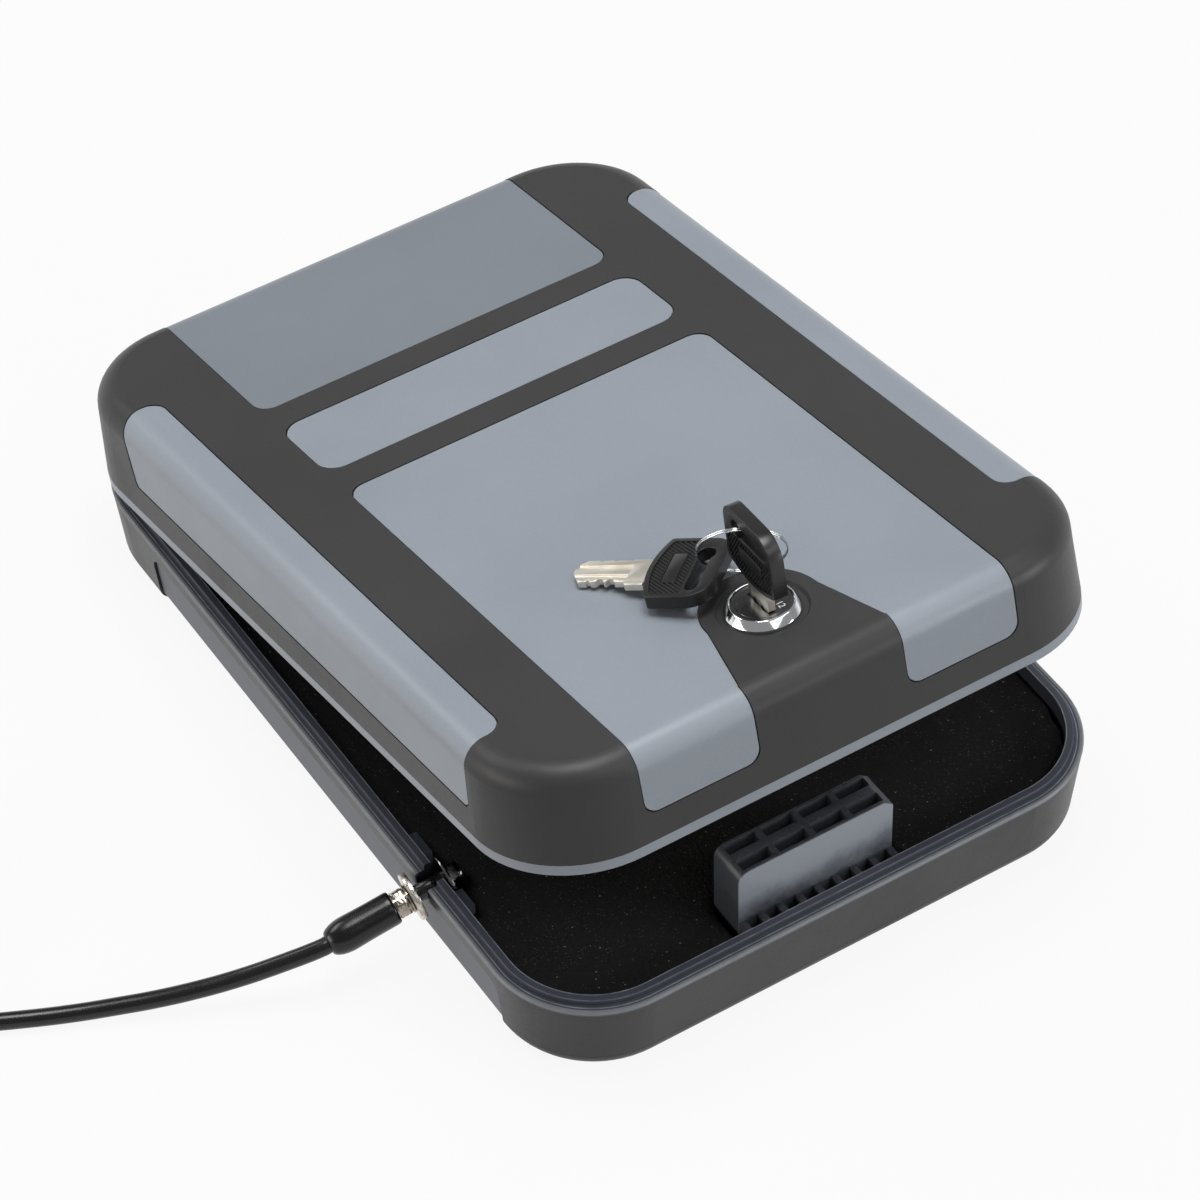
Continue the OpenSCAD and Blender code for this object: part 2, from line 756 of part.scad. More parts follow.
// Cable end: pieces are drawn along +Z, which points out of the box
cable_pitch = 13;
cable_yaw = 5.5;
fitting_x = -box_w / 2 - 1.5;
sleeve_from = 6.4;
sleeve_to = 26;
fitting = [fitting_x, cable_y, cable_z];
out_dir = [-cos(cable_pitch) * cos(cable_yaw), cos(cable_pitch) * sin(cable_yaw), -sin(cable_pitch)];

module on_fitting() {
    translate(fitting) rotate([0, -cable_pitch, -cable_yaw]) rotate([0, -90, 0]) children();
}

washer_t = 1;
inner_at = -8.6;
inner_washer_d = washer_d - 0.7;

module cable_ferrule() color(steel) on_fitting() {
    translate([0, 0, inner_at - washer_t - 0.1]) cylinder(d = neck_d, h = 2 * washer_t + 0.3 - inner_at);
    translate([0, 0, washer_t + 0.1]) cylinder(d = ferrule_d, h = sleeve_from - washer_t - 0.1);
    translate([0, 0, sleeve_from - eps]) cylinder(d = ferrule_d - 1, h = 3);
}

module washer_shape(d) {
    difference() {
        cylinder(d = d, h = washer_t);
        translate([0, 0, -1]) cylinder(d = neck_d + 0.2, h = washer_t + 2);
    }
}
module outer_washer() color(steel) on_fitting() washer_shape(washer_d);
module inner_washer() color(steel) on_fitting() translate([0, 0, inner_at - washer_t])
    washer_shape(inner_washer_d);

module cable_stop() color(steel) on_fitting() translate([0, 0, inner_at - washer_t - 0.1 - 3.4]) {
    cylinder(d = neck_d + 1, h = 3.4);
    translate([0, 0, 2.5]) cylinder(d = neck_d + 2.4, h = 0.9);
}

module cable_sleeve() color(black) on_fitting() {
    r = sleeve_d / 2;
    difference() {
        rotate_extrude() polygon([[0, sleeve_from + 0.1], [r - 0.5, sleeve_from + 0.1], [r, sleeve_from + 0.7],
            [r + 0.15, sleeve_to - 6], [r - 0.3, sleeve_to - 3], [r - 1, sleeve_to], [0, sleeve_to]]);
        translate([0, 0, sleeve_from - 1]) cylinder(d = ferrule_d - 0.8, h = 4.2);
    }
}

// Route of the cable over the floor, chosen by hand; it starts square to the sleeve
cable_r = cable_d / 2;
sleeve_end = fitting + sleeve_to * out_dir;
lie_z = cable_r + 0.1;
coil_at = [-221, 26];
coil_start = 242;
free_points = [
    [-128, -56.4, 12.6], [-139.5, -52.4, 8.6], [-149, -47.6, 5.6], [-158, -43, 3.6],
    [-168, -38.7, 2.6], [-178, -34.2, lie_z], [-190, -28.2, lie_z], [-202, -21.8, lie_z],
    [-214, -15, lie_z], [-225, -9, lie_z]
];

// Coil: spirals in on the floor, climbs in the half turn where it reverses, spirals out on top
coil_mid_r = 28.8;
coil_turns = 2.25;
coil_step = cable_d + 0.8;
coil_out_r = coil_mid_r + coil_turns * coil_step / 2;
coil_in_r = coil_mid_r - coil_turns * coil_step / 2;
full_turn = 360;
half_turn = full_turn / 2;
coil_rate = coil_step / full_turn;
coil_span = full_turn * coil_turns;
coil_total = 2 * coil_span + half_turn;
coil_dip = coil_step / (2 * PI);
function coil_radius(a) = a < coil_span ? coil_out_r - coil_rate * a
    : a < coil_span + half_turn ? coil_in_r - coil_dip * sin(a - coil_span)
    : coil_in_r + coil_rate * (a - coil_span - half_turn);
function coil_height(a) = a < coil_span ? lie_z
    : a < coil_span + half_turn ? lie_z + coil_step * (1 - cos(a - coil_span)) / 2
    : lie_z + coil_step;
function coil_point(a) = [
    coil_at.x + coil_radius(a) * cos(coil_start - a),
    coil_at.y + coil_radius(a) * sin(coil_start - a),
    coil_height(a)];
coil_dir = [sin(coil_start), -cos(coil_start), 0];
coil_inner = [for (a = [0:15:coil_total]) coil_point(a)];
coil_path = concat([coil_point(0) - cable_d * coil_dir], coil_inner,
    [coil_point(coil_total) + cable_d * coil_dir]);
coil_first = coil_path[0];
coil_last = coil_path[len(coil_path) - 1];

free_path = concat([sleeve_end, sleeve_end + cable_d * out_dir], free_points,
    [coil_first - cable_d * coil_dir, coil_first]);

// Eye at the far end: a drop-shaped loop whose two legs lie side by side in the crimped sleeve
leg_gap = cable_d + 0.4;
eye_l = 46;
eye_bulge = 20;
eye_z = cable_r + 1.4;
lead_l = 26;
crimp_l = 15;
side_dir = [coil_dir.y, -coil_dir.x, 0];
function from_coil(v) = [coil_last.x, coil_last.y, 0] + v.x * coil_dir + v.y * side_dir + [0, 0, v.z];
function eye_point(t) = [
    lead_l + crimp_l + 4 + eye_l * (1 - cos(360 * t)) / 2,
    leg_gap / 2 * cos(180 * t) + eye_bulge * sin(360 * t) * pow(sin(180 * t), 2),
    eye_z - (eye_z - lie_z) * (1 - cos(360 * t)) / 2];
eye_path = [for (v = concat(
    [[0, 0, coil_last.z], [cable_d, 0, coil_last.z], [12, 0.9, 6.6], [19, 2.1, 4.6],
        [lead_l, leg_gap / 2, eye_z], [lead_l + crimp_l, leg_gap / 2, eye_z]],
    [for (t = [0.06:0.04:0.94]) eye_point(t)],
    [[lead_l + crimp_l, -leg_gap / 2, eye_z], [lead_l - 1, -leg_gap / 2, eye_z]])) from_coil(v)];

// Tube of n sides along a path; its rings stay square to the path
function unit(v) = v / norm(v);
function path_dir(p, i) = i == 0 ? unit(p[1] - p[0])
    : i == len(p) - 1 ? unit(p[i] - p[i - 1])
    : unit(unit(p[i] - p[i - 1]) + unit(p[i + 1] - p[i]));
function path_length(p) = len(p) < 2 ? 0 : [for (i = 1, s = norm(p[1] - p[0]); i < len(p);
    i = i + 1, s = s + (i < len(p) ? norm(p[i] - p[i - 1]) : 0)) s][len(p) - 2];

module tube(p, r, n) {
    rings = [for (i = [0:len(p) - 1]) let (
            t = path_dir(p, i),
            a = unit(cross(t, [0, 0, 1])),
            b = cross(a, t))
        for (k = [0:n - 1]) p[i] + r * (cos(360 * k / n) * a + sin(360 * k / n) * b)];
    last = len(p) - 1;
    walls = [for (i = [0:last - 1], k = [0:n - 1]) let (q = (k + 1) % n)
        each [[i * n + k, (i + 1) * n + q, i * n + q], [i * n + k, (i + 1) * n + k, (i + 1) * n + q]]];
    start_cap = [for (k = [1:n - 2]) [0, k, k + 1]];
    end_cap = [for (k = [1:n - 2]) [last * n, last * n + k + 1, last * n + k]];
    polyhedron(concat(rings), concat(walls, start_cap, end_cap), convexity = 10);
}

module cable() color(black) tube(free_path, cable_r, 8);
module cable_coil() color(black) tube(coil_path, cable_r, 6);
module cable_loop() color(black) tube(eye_path, cable_r, 6);

module loop_sleeve() color(steel) {
    r = cable_r + 1.2;
    place = from_coil([lead_l + 1, 0, eye_z]);
    translate(place) rotate([0, 0, atan2(coil_dir.y, coil_dir.x)]) rotate([0, 90, 0]) difference() {
        union() {
            for (s = [-1, 1]) translate([0, s * leg_gap / 2, 0]) cylinder(r = r, h = crimp_l - 2);
            translate([-r, -leg_gap / 2, 0]) cube([2 * r, leg_gap, crimp_l - 2]);
        }
        for (s = [-1, 1]) translate([0, s * leg_gap / 2, -1]) cylinder(r = cable_r + 0.1, h = crimp_l + 2);
    }
}

coil_gap = min([for (i = [0:len(coil_inner) - 1], j = [i + 8:1:len(coil_inner) - 1])
    norm(coil_inner[i] - coil_inner[j])]) - cable_d;
echo(coil_gap = coil_gap, free = path_length(free_path));
echo(coil = path_length(coil_path), eye = path_length(eye_path));

base_shell();
base_overmould();
base_foam();
latch_keeper();
keeper_screws();
hinge_pin();
lid_shell();
lid_overmould();
lid_foam();
lock_housing();
lock_nut();
lock_plug();
lock_cam();
cam_screw();
key_blade();
key_head();
key_ring();
spare_blade();
spare_head();
cable_ferrule();
outer_washer();
inner_washer();
cable_stop();
cable_sleeve();
cable();
cable_coil();
cable_loop();
loop_sleeve();
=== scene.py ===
import json
import logging
import math
from dataclasses import dataclass
from enum import Enum
from typing import Any, Iterable, Sequence

import bpy
from mathutils import Matrix, Vector, noise

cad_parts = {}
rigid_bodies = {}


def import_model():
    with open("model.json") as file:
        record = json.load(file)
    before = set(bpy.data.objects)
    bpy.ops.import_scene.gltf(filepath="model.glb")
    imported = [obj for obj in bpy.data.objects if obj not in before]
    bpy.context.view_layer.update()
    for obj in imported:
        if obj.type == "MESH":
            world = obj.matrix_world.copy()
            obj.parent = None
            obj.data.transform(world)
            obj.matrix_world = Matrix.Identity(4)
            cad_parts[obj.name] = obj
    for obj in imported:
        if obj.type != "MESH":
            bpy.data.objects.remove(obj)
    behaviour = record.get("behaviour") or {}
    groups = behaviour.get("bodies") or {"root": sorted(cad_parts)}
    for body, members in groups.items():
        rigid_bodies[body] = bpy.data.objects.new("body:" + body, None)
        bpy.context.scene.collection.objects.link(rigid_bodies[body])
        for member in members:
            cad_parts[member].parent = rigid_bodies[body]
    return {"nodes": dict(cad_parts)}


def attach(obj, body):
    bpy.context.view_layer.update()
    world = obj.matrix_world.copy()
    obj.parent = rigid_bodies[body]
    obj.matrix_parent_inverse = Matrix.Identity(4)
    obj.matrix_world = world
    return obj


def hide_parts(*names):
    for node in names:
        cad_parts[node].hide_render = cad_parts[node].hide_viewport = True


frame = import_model()

LOG = logging.getLogger("lock_box")
MM = 0.001
Point = tuple[float, float, float]
Flat = tuple[float, float]
Piece = bpy.types.Object
Material = bpy.types.Material


class Body(Enum):
    """The moving bodies that pieces ride on."""

    BASE = "base"
    LID = "lid"
    PLUG = "plug"
    KEY = "key"
    RING = "ring"
    SPARE = "spare_key"


class Slot(Enum):
    """The record's material slots that go with the drawn pieces."""

    KEEPER = "keeper"
    FOAM = "foam"
    CHROME = "chrome"
    STEEL = "steel"
    NICKEL = "nickel"
    KEY_PLASTIC = "key_plastic"
    SHEATH = "sheath"


@dataclass(frozen=True)
class CaseSizes:
    """Named sizes of the case in millimetres, the same as those of the solids."""

    width: float = 178.0
    length: float = 256.0
    corner: float = 30.0
    ledge_z: float = 25.5
    hinge_y: float = 122.4
    hinge_z: float = 23.9
    lid_open: float = 11.5
    plug_turn: float = 5.0
    rim_in: float = 4.8
    floor_t: float = 2.6
    foam_top: float = 22.0
    lock_y: float = -97.5
    seat_z: float = 54.5
    plug_face_z: float = 57.3


CASE = CaseSizes()


def scad_turn(x: float, y: float, z: float) -> Matrix:
    """Rotation about X, then Y, then Z, in degrees.

    Args:
        x: Turn about X.
        y: Turn about Y.
        z: Turn about Z.

    Returns:
        The combined rotation.
    """
    turn = Matrix.Identity(4)
    for axis, angle in (("X", x), ("Y", y), ("Z", z)):
        turn = Matrix.Rotation(math.radians(angle), 4, axis) @ turn
    return turn


def move(x: float, y: float, z: float) -> Matrix:
    """Translation by millimetres."""
    return Matrix.Translation((x * MM, y * MM, z * MM))


def lid_place() -> Matrix:
    """Turns what is drawn on the closed lid into the modelled pose."""
    return (move(0, CASE.hinge_y, CASE.hinge_z) @ scad_turn(-CASE.lid_open, 0, 0)
            @ move(0, -CASE.hinge_y, -CASE.hinge_z))


def arc(x: float, y: float, radius: float, angles: Iterable[float]) -> list[Flat]:
    """Points on a circle round (x, y), one for each angle in degrees."""
    return [(x + radius * math.cos(math.radians(a)), y + radius * math.sin(math.radians(a))) for a in angles]


def outline_points(inset: float, steps: int = 10) -> list[Flat]:
    """Round-cornered outline of the case, counter-clockwise, moved inwards.

    Args:
        inset: Distance inwards in millimetres.
        steps: Steps along each corner.

    Returns:
        Points in millimetres.
    """
    points: list[Flat] = []
    for quarter, (sx, sy) in enumerate(((1, 1), (-1, 1), (-1, -1), (1, -1))):
        points += arc(sx * (CASE.width / 2 - CASE.corner), sy * (CASE.length / 2 - CASE.corner),
                      CASE.corner - inset, (90 * quarter + 90 * i / steps for i in range(steps + 1)))
    return points


def toned(colour: Point, share: float) -> Point:
    """A colour with a share of its light."""
    return tuple(c * share for c in colour)


class Wire:
    """A shader socket that Python arithmetic extends with Math nodes."""

    def __init__(self, recipe: "Recipe", socket: bpy.types.NodeSocket) -> None:
        """Keeps the recipe and the socket."""
        self.recipe = recipe
        self.socket = socket

    def __add__(self, other: "Wire | float") -> "Wire":
        """Sum."""
        return self.recipe.math("ADD", self, other)

    def __radd__(self, other: float) -> "Wire":
        """Sum with a number in front."""
        return self.recipe.math("ADD", other, self)

    def __sub__(self, other: "Wire | float") -> "Wire":
        """Difference."""
        return self.recipe.math("SUBTRACT", self, other)

    def __rsub__(self, other: float) -> "Wire":
        """Difference from a number."""
        return self.recipe.math("SUBTRACT", other, self)

    def __mul__(self, other: "Wire | float") -> "Wire":
        """Product."""
        return self.recipe.math("MULTIPLY", self, other)

    def __rmul__(self, other: float) -> "Wire":
        """Product with a number in front."""
        return self.recipe.math("MULTIPLY", other, self)

    def __truediv__(self, other: "Wire | float") -> "Wire":
        """Quotient."""
        return self.recipe.math("DIVIDE", self, other)

    def __pow__(self, other: "Wire | float") -> "Wire":
        """Power."""
        return self.recipe.math("POWER", self, other)

    def __abs__(self) -> "Wire":
        """Absolute value."""
        return self.recipe.math("ABSOLUTE", self)

    def above(self, edge: "Wire | float") -> "Wire":
        """1 where the value is above edge, otherwise 0."""
        return self.recipe.math("GREATER_THAN", self, edge)

    def below(self, edge: "Wire | float") -> "Wire":
        """1 where the value is below edge, otherwise 0."""
        return self.recipe.math("LESS_THAN", self, edge)

    def clamped(self) -> "Wire":
        """The value held between 0 and 1.

        Returns:
            The clamped value.
        """
        wire = self.recipe.math("ADD", self, 0.0)
        wire.socket.node.use_clamp = True
        return wire


class Recipe:
    """One node tree, of a material or of the world, built socket by socket."""

    def __init__(self, name: str, of_world: bool = False) -> None:
        """Starts an empty node tree.

        Args:
            name: Name of the material or world.
            of_world: Whether it is a world.
        """
        self.made = (bpy.data.worlds if of_world else bpy.data.materials).new(name)
        self.made.use_nodes = True
        self.tree = self.made.node_tree
        self.tree.nodes.clear()
        self.output = self.tree.nodes.new("ShaderNodeOutputWorld" if of_world else "ShaderNodeOutputMaterial")

    def node(self, kind: str, settings: dict[str, Any] | None = None,
             inputs: dict[str | int, Any] | None = None) -> bpy.types.Node:
        """Adds a node, sets its settings first and then its sockets.

        Args:
            kind: Blender's node type.
            settings: Attributes of the node.
            inputs: Values or wires by socket name or index.

        Returns:
            The new node.
        """
        made = self.tree.nodes.new(kind)
        for key, value in (settings or {}).items():
            setattr(made, key, value)
        for key, value in (inputs or {}).items():
            if isinstance(value, Wire):
                self.tree.links.new(value.socket, made.inputs[key])
            else:
                made.inputs[key].default_value = value
        return made

    def wire(self, kind: str, out: str | int, settings: dict[str, Any] | None = None,
             inputs: dict[str | int, Any] | None = None) -> Wire:
        """Adds a node and returns one of its outputs.

        Args:
            kind: Blender's node type.
            out: Name or index of the output.
            settings: As in node.
            inputs: As in node.

        Returns:
            The output as a wire.
        """
        return Wire(self, self.node(kind, settings, inputs).outputs[out])

    def math(self, operation: str, *values: "Wire | float") -> Wire:
        """Adds a Math node."""
        return self.wire("ShaderNodeMath", 0, {"operation": operation}, dict(enumerate(values)))

    def here(self) -> Wire:
        """Object coordinates, in metres."""
        return self.wire("ShaderNodeTexCoord", "Object")

    def parts(self, vector: Wire) -> tuple[Wire, Wire, Wire]:
        """X, Y and Z of a vector."""
        split = self.node("ShaderNodeSeparateXYZ", None, {0: vector})
        return Wire(self, split.outputs[0]), Wire(self, split.outputs[1]), Wire(self, split.outputs[2])

    def stretched(self, vector: Wire, scale: Point) -> Wire:
        """A vector times a scale for each axis."""
        return self.wire("ShaderNodeVectorMath", 0, {"operation": "MULTIPLY"}, {0: vector, 1: scale})

    def cloud(self, vector: Wire, scale: float, detail: float = 3.0, rough: float = 0.5) -> Wire:
        """Noise of a number of waves per metre."""
        return self.wire("ShaderNodeTexNoise", 0, None, {
            "Vector": vector, "Scale": scale, "Detail": detail, "Roughness": rough})

    def pores(self, vector: Wire, scale: float) -> Wire:
        """Distance to the nearest of a number of scattered points per metre."""
        return self.wire("ShaderNodeTexVoronoi", "Distance", None, {"Vector": vector, "Scale": scale})

    def ramp(self, value: Wire, low: float, high: float, first: float = 0.0, last: float = 1.0) -> Wire:
        """Grey ramp that leads from one level at low to another at high.

        Args:
            value: What runs along the ramp.
            low: Where the ramp starts.
            high: Where it ends.
            first: Grey level up to the start.
            last: Grey level from the end on.

        Returns:
            The grey level.
        """
        made = self.node("ShaderNodeValToRGB", None, {0: value})
        for stop, at, level in zip(made.color_ramp.elements, (low, high), (first, last)):
            stop.position, stop.color = at, (level, level, level, 1.0)
        return Wire(self, made.outputs[0])

    def blend(self, factor: "Wire | float", first: Any, second: Any) -> Wire:
        """Mix of two colours."""
        colours = [(*c, 1.0) if isinstance(c, tuple) else c for c in (first, second)]
        return self.wire("ShaderNodeMix", 2, {"data_type": "RGBA"}, {0: factor, 6: colours[0], 7: colours[1]})

    def bump(self, height: Wire, strength: float, distance: float, under: Wire | None = None) -> Wire:
        """Bump normal.

        Args:
            height: Height field from 0 to 1.
            strength: Share of the bump that shows.
            distance: Height of a full step, in metres.
            under: Another bump that this one lies on.

        Returns:
            The normal.
        """
        inputs: dict[str | int, Any] = {"Strength": strength, "Distance": distance, "Height": height}
        if under is not None:
            inputs["Normal"] = under
        return self.wire("ShaderNodeBump", 0, None, inputs)

    def seen(self) -> Wire:
        """1 for what the camera sees, also in a reflection or through glass, otherwise 0.

        Returns:
            The 1 or 0.
        """
        path = self.node("ShaderNodeLightPath")
        camera, glossy, through = (Wire(self, path.outputs[kind]) for kind in (
            "Is Camera Ray", "Is Glossy Ray", "Is Transmission Ray"))
        return self.math("MAXIMUM", camera, self.math("MAXIMUM", glossy, through))

    def close(self, shader: bpy.types.Node) -> Any:
        """Joins the last shader to the output and returns what was built."""
        self.tree.links.new(shader.outputs[0], self.output.inputs[0])
        return self.made

    def finish(self, **sockets: Any) -> Material:
        """Closes the material with one Principled shader.

        Args:
            sockets: Values or wires by socket name, with underscores for spaces.

        Returns:
            The material.
        """
        inputs = {key.replace("_", " "): value for key, value in sockets.items()}
        return self.close(self.node("ShaderNodeBsdfPrincipled", None, inputs))


@dataclass(frozen=True)
class MouldedPlastic:
    """Fine-grained moulded plastic with faint handling marks."""

    name: str
    colour: Point
    shade: float = 0.9
    rough: float = 0.45
    grain: float = 1500.0
    grain_depth: float = 0.02
    specular: float = 0.45
    # painted shade: share of the colour kept on the rear of the lid's top, behind rear_y, within rear_x and
    # above rear_z
    rear_shade: float = 1.0
    rear_y: float = 69.0
    rear_x: float = 62.0
    rear_z: float = 33.0

    def start(self) -> tuple[Recipe, Wire, Wire, Wire]:
        """Starts the material with what all moulded plastics share.

        Returns:
            The recipe, its coordinates, the fine grain and the broadly mottled tone.
        """
        r = Recipe(self.name)
        at = r.here()
        mottled = r.ramp(r.cloud(at, 14.0, 4.0, 0.55), 0.3, 0.7)
        return (r, at, r.cloud(at, self.grain, 2.0, 0.6),
                r.blend(mottled, toned(self.colour, self.shade), self.colour))

    def specked(self, r: Recipe, fine: Wire, tone: Wire, amount: float, light: float) -> Wire:
        """The tone with the lighter specks of the grain over it."""
        return r.blend(r.ramp(fine, 0.28, 0.72) * amount, tone, toned(self.colour, light))

    def grained(self, r: Recipe, fine: Wire, tone: Wire) -> Material:
        """Closes the material of a piece whose finish varies with its grain alone."""
        return r.finish(Base_Color=tone, Roughness=fine * 0.08 + (self.rough - 0.04),
                        Specular_IOR_Level=self.specular, Normal=r.bump(fine, 0.5, self.grain_depth * MM))

    def make(self) -> Material:
        """Builds the node material.

        Returns:
            The material.
        """
        r, at, fine, tone = self.start()
        coarse = r.cloud(at, self.grain / 6, 3.0, 0.6)
        tone = self.specked(r, fine, tone, 0.10, 1.5)
        # painted shade: the rear of the lid's top is darkened, standing in for the light that falls off there
        if self.rear_shade < 1.0:
            x, y, z = r.parts(at)
            painted_rear_shade = y.above(self.rear_y * MM) * abs(x).below(self.rear_x * MM) * z.above(self.rear_z * MM)
            tone = r.blend(painted_rear_shade, tone, r.blend(1.0 - self.rear_shade, tone, (0.0, 0.0, 0.0)))
        smudge = r.ramp(r.cloud(r.stretched(at, (1.0, 0.6, 1.0)), 38.0, 5.0, 0.62), 0.42, 0.66)
        roughness = smudge * 0.07 + (coarse * 0.06 + (self.rough - 0.06))
        normal = r.bump(fine, 0.55, self.grain_depth * MM, r.bump(coarse, 0.25, self.grain_depth * 1.5 * MM))
        return r.finish(Base_Color=tone, Roughness=roughness, Specular_IOR_Level=self.specular, Normal=normal)


@dataclass(frozen=True)
class TrayPlastic(MouldedPlastic):
    """The base tray's plastic, with painted highlights along the edges of its rim and a painted lit band
    round its outer edge.
    """

    # band is the width of the painted lit band round the rim's outer edge, band_dark and band_pale are its
    # colours; the last colour is that of the painted edge highlights
    band: float = 1.15
    band_dark: Point = (0.165, 0.175, 0.188)
    band_pale: Point = (0.2, 0.213, 0.228)
    edge_highlight: Point = (0.34, 0.37, 0.42)

    def make(self) -> Material:
        """Builds the node material.

        Returns:
            The material.
        """
        r, at, fine, tone = self.start()
        x, y, z = r.parts(at)
        half_x, half_y = (CASE.width / 2 - CASE.corner) * MM, (CASE.length / 2 - CASE.corner) * MM
        over_x = r.math("MAXIMUM", abs(x) - half_x, 0.0)
        over_y = r.math("MAXIMUM", abs(y) - half_y, 0.0)
        inward = (CASE.corner * MM - (over_x * over_x + over_y * over_y) ** 0.5) / MM
        height = z / MM
        patchy = r.ramp(r.cloud(at, 240.0, 4.0, 0.6), 0.3, 0.6, 0.35)
        # painted light: the outer band of the rim is coloured lighter, as if lit
        outer = inward.below(self.band) * height.above(24.8)
        groove = r.math("COMPARE", inward, 1.8, 0.16) * r.math("COMPARE", height, CASE.ledge_z, 0.1)
        lip = r.math("COMPARE", inward, 2.85, 0.14) * height.above(26.9)
        lip_in = r.math("COMPARE", inward, 4.72, 0.16) * height.above(26.9)
        tone = r.blend(outer, tone, r.blend(patchy, self.band_dark, self.band_pale))
        tone = self.specked(r, fine, tone, 0.12, 1.8)
        # painted highlights: light lines along the ledge's groove and both edges of the lip, broken up in
        # patches
        tone = r.blend(((groove + lip * 0.4 + lip_in) * patchy).clamped() * 0.75, tone, self.edge_highlight)
        return self.grained(r, fine, tone)


@dataclass(frozen=True)
class KeeperPlastic(MouldedPlastic):
    """The keeper's plastic, with painted shade over its top, cells, sides, back and comb, and over its front
    face towards the bottom.
    """

    # colour of the painted shade
    painted_shade_colour: Point = (0.028, 0.031, 0.038)

    def make(self) -> Material:
        """Builds the node material.

        Returns:
            The material.
        """
        r = Recipe(self.name)
        at = r.here()
        x, y, z = r.parts(at)
        fine = r.cloud(at, self.grain, 2.0, 0.6)
        blotches = r.cloud(at, 150.0, 4.0, 0.65)
        broad = r.cloud(at, 45.0, 3.0, 0.5)
        # painted shade: behind the front face, on the comb before it and low down, with an uneven edge
        behind = r.ramp(y / MM + 119.1, 0.5, 1.0)
        before = (y / MM).below(-118.75)
        edge = r.ramp((x / MM + 26.0) / 14.0, 0.0, 1.0) * 4.0 + (broad * 10.0 + (blotches * 8.0 + 20.0))
        low = ((edge - z / MM) / 9.0 + 0.3).clamped()
        painted_shade_mask = (behind * 0.96 + before * 0.7 + low * (blotches * 0.9 + 0.25)).clamped()
        tone = r.blend(painted_shade_mask, r.blend(blotches * 0.4, self.colour, toned(self.colour, 0.8)), self.painted_shade_colour)
        return self.grained(r, fine, self.specked(r, fine, tone, 0.10, 1.5))


@dataclass(frozen=True)
class SoftOvermould:
    """Matte charcoal elastomer with a leathery grain and painted glints on the grain's high spots."""

    name: str = "overmould_charcoal"
    colour: Point = (0.033, 0.033, 0.034)

    def make(self) -> Material:
        """Builds the node material.

        Returns:
            The material.
        """
        r = Recipe(self.name)
        at = r.here()
        cells = r.wire("ShaderNodeTexVoronoi", "Distance", {"feature": "SMOOTH_F1"}, {
            "Vector": at, "Scale": 900.0, "Smoothness": 0.6})
        fine = r.cloud(at, 2200.0, 2.0, 0.6)
        broad = r.cloud(at, 11.0, 5.0, 0.6)
        tone = r.blend(r.ramp(broad, 0.32, 0.72), self.colour, toned(self.colour, 1.22))
        # painted glints: the high spots of the fine grain are made lighter
        tone = r.blend(r.ramp(fine, 0.55, 0.85) * 0.3, tone, toned(self.colour, 1.9))
        marks = r.ramp(r.cloud(at, 30.0, 6.0, 0.65), 0.45, 0.7)
        roughness = marks * 0.08 + (cells * 0.06 + 0.35)
        normal = r.bump(fine, 0.5, 0.02 * MM, r.bump(cells, 0.35, 0.05 * MM))
        return r.finish(Base_Color=tone, Roughness=roughness, Specular_IOR_Level=0.24, Normal=normal)


@dataclass(frozen=True)
class CellFoam:
    """Black open-cell foam, painted darker in the pits of its pores, with tiny bright specks that are painted
    glints on its cut cells.
    """

    name: str = "foam_black"
    colour: Point = (0.015, 0.015, 0.015)
    speck: Point = (0.2, 0.205, 0.205)

    def make(self) -> Material:
        """Builds the node material.

        Returns:
            The material.
        """
        r = Recipe(self.name)
        at = r.here()
        pores = r.pores(at, 1100.0)
        bright = r.pores(at, 400.0).below(0.09) * r.cloud(at, 520.0, 1.0).above(0.48)
        some = r.pores(at, 640.0).below(0.1) * r.cloud(at, 300.0, 2.0).above(0.47)
        faint = r.pores(at, 1000.0).below(0.16) * r.cloud(at, 90.0, 2.0).above(0.48)
        # painted shade: darker in the pits of the pores
        tone = r.blend(r.ramp(pores, 0.0, 0.5), toned(self.colour, 0.45), self.colour)
        tone = r.blend(r.cloud(at, 25.0, 3.0) * 0.5, tone, toned(self.colour, 1.7))
        # painted glints: tiny bright specks on the cut cells
        tone = r.blend((bright + some * 0.5 + faint * 0.3).clamped() * 0.9, tone, self.speck)
        normal = r.bump(pores, 0.9, 0.25 * MM, r.bump(r.cloud(at, 3000.0, 2.0, 0.7), 0.6, 0.1 * MM))
        return r.finish(Base_Color=tone, Roughness=0.93, Specular_IOR_Level=0.2, Normal=normal)


@dataclass(frozen=True)
class PlatedMetal:
    """Plated metal with fine scratches along one axis."""

    name: str
    colour: Point
    rough: float = 0.12
    stretch: Point = (1.0, 1.0, 0.06)
    scratches: float = 0.10
    tarnish: float = 0.12
    stain: Point | None = None

    def make(self) -> Material:
        """Builds the node material.

        Returns:
            The material.
        """
        r = Recipe(self.name)
        at = r.here()
        lines = r.cloud(r.stretched(at, self.stretch), 3200.0, 3.0, 0.7)
        cloudy = r.cloud(at, 160.0, 4.0, 0.6)
        tone = r.blend(r.ramp(cloudy, 0.4, 0.65), self.colour, toned(self.colour, 1 - self.tarnish))
        if self.stain is not None:
            spots = r.ramp(r.cloud(at, 300.0, 4.0, 0.6), 0.46, 0.6)
            tone = r.blend(spots * 0.6, tone, self.stain)
        roughness = r.ramp(lines, 0.45, 0.75) * self.scratches + (cloudy * 0.06 + self.rough)
        return r.finish(Base_Color=tone, Metallic=1.0, Roughness=roughness,
                        Normal=r.bump(lines, 0.22, 0.012 * MM))


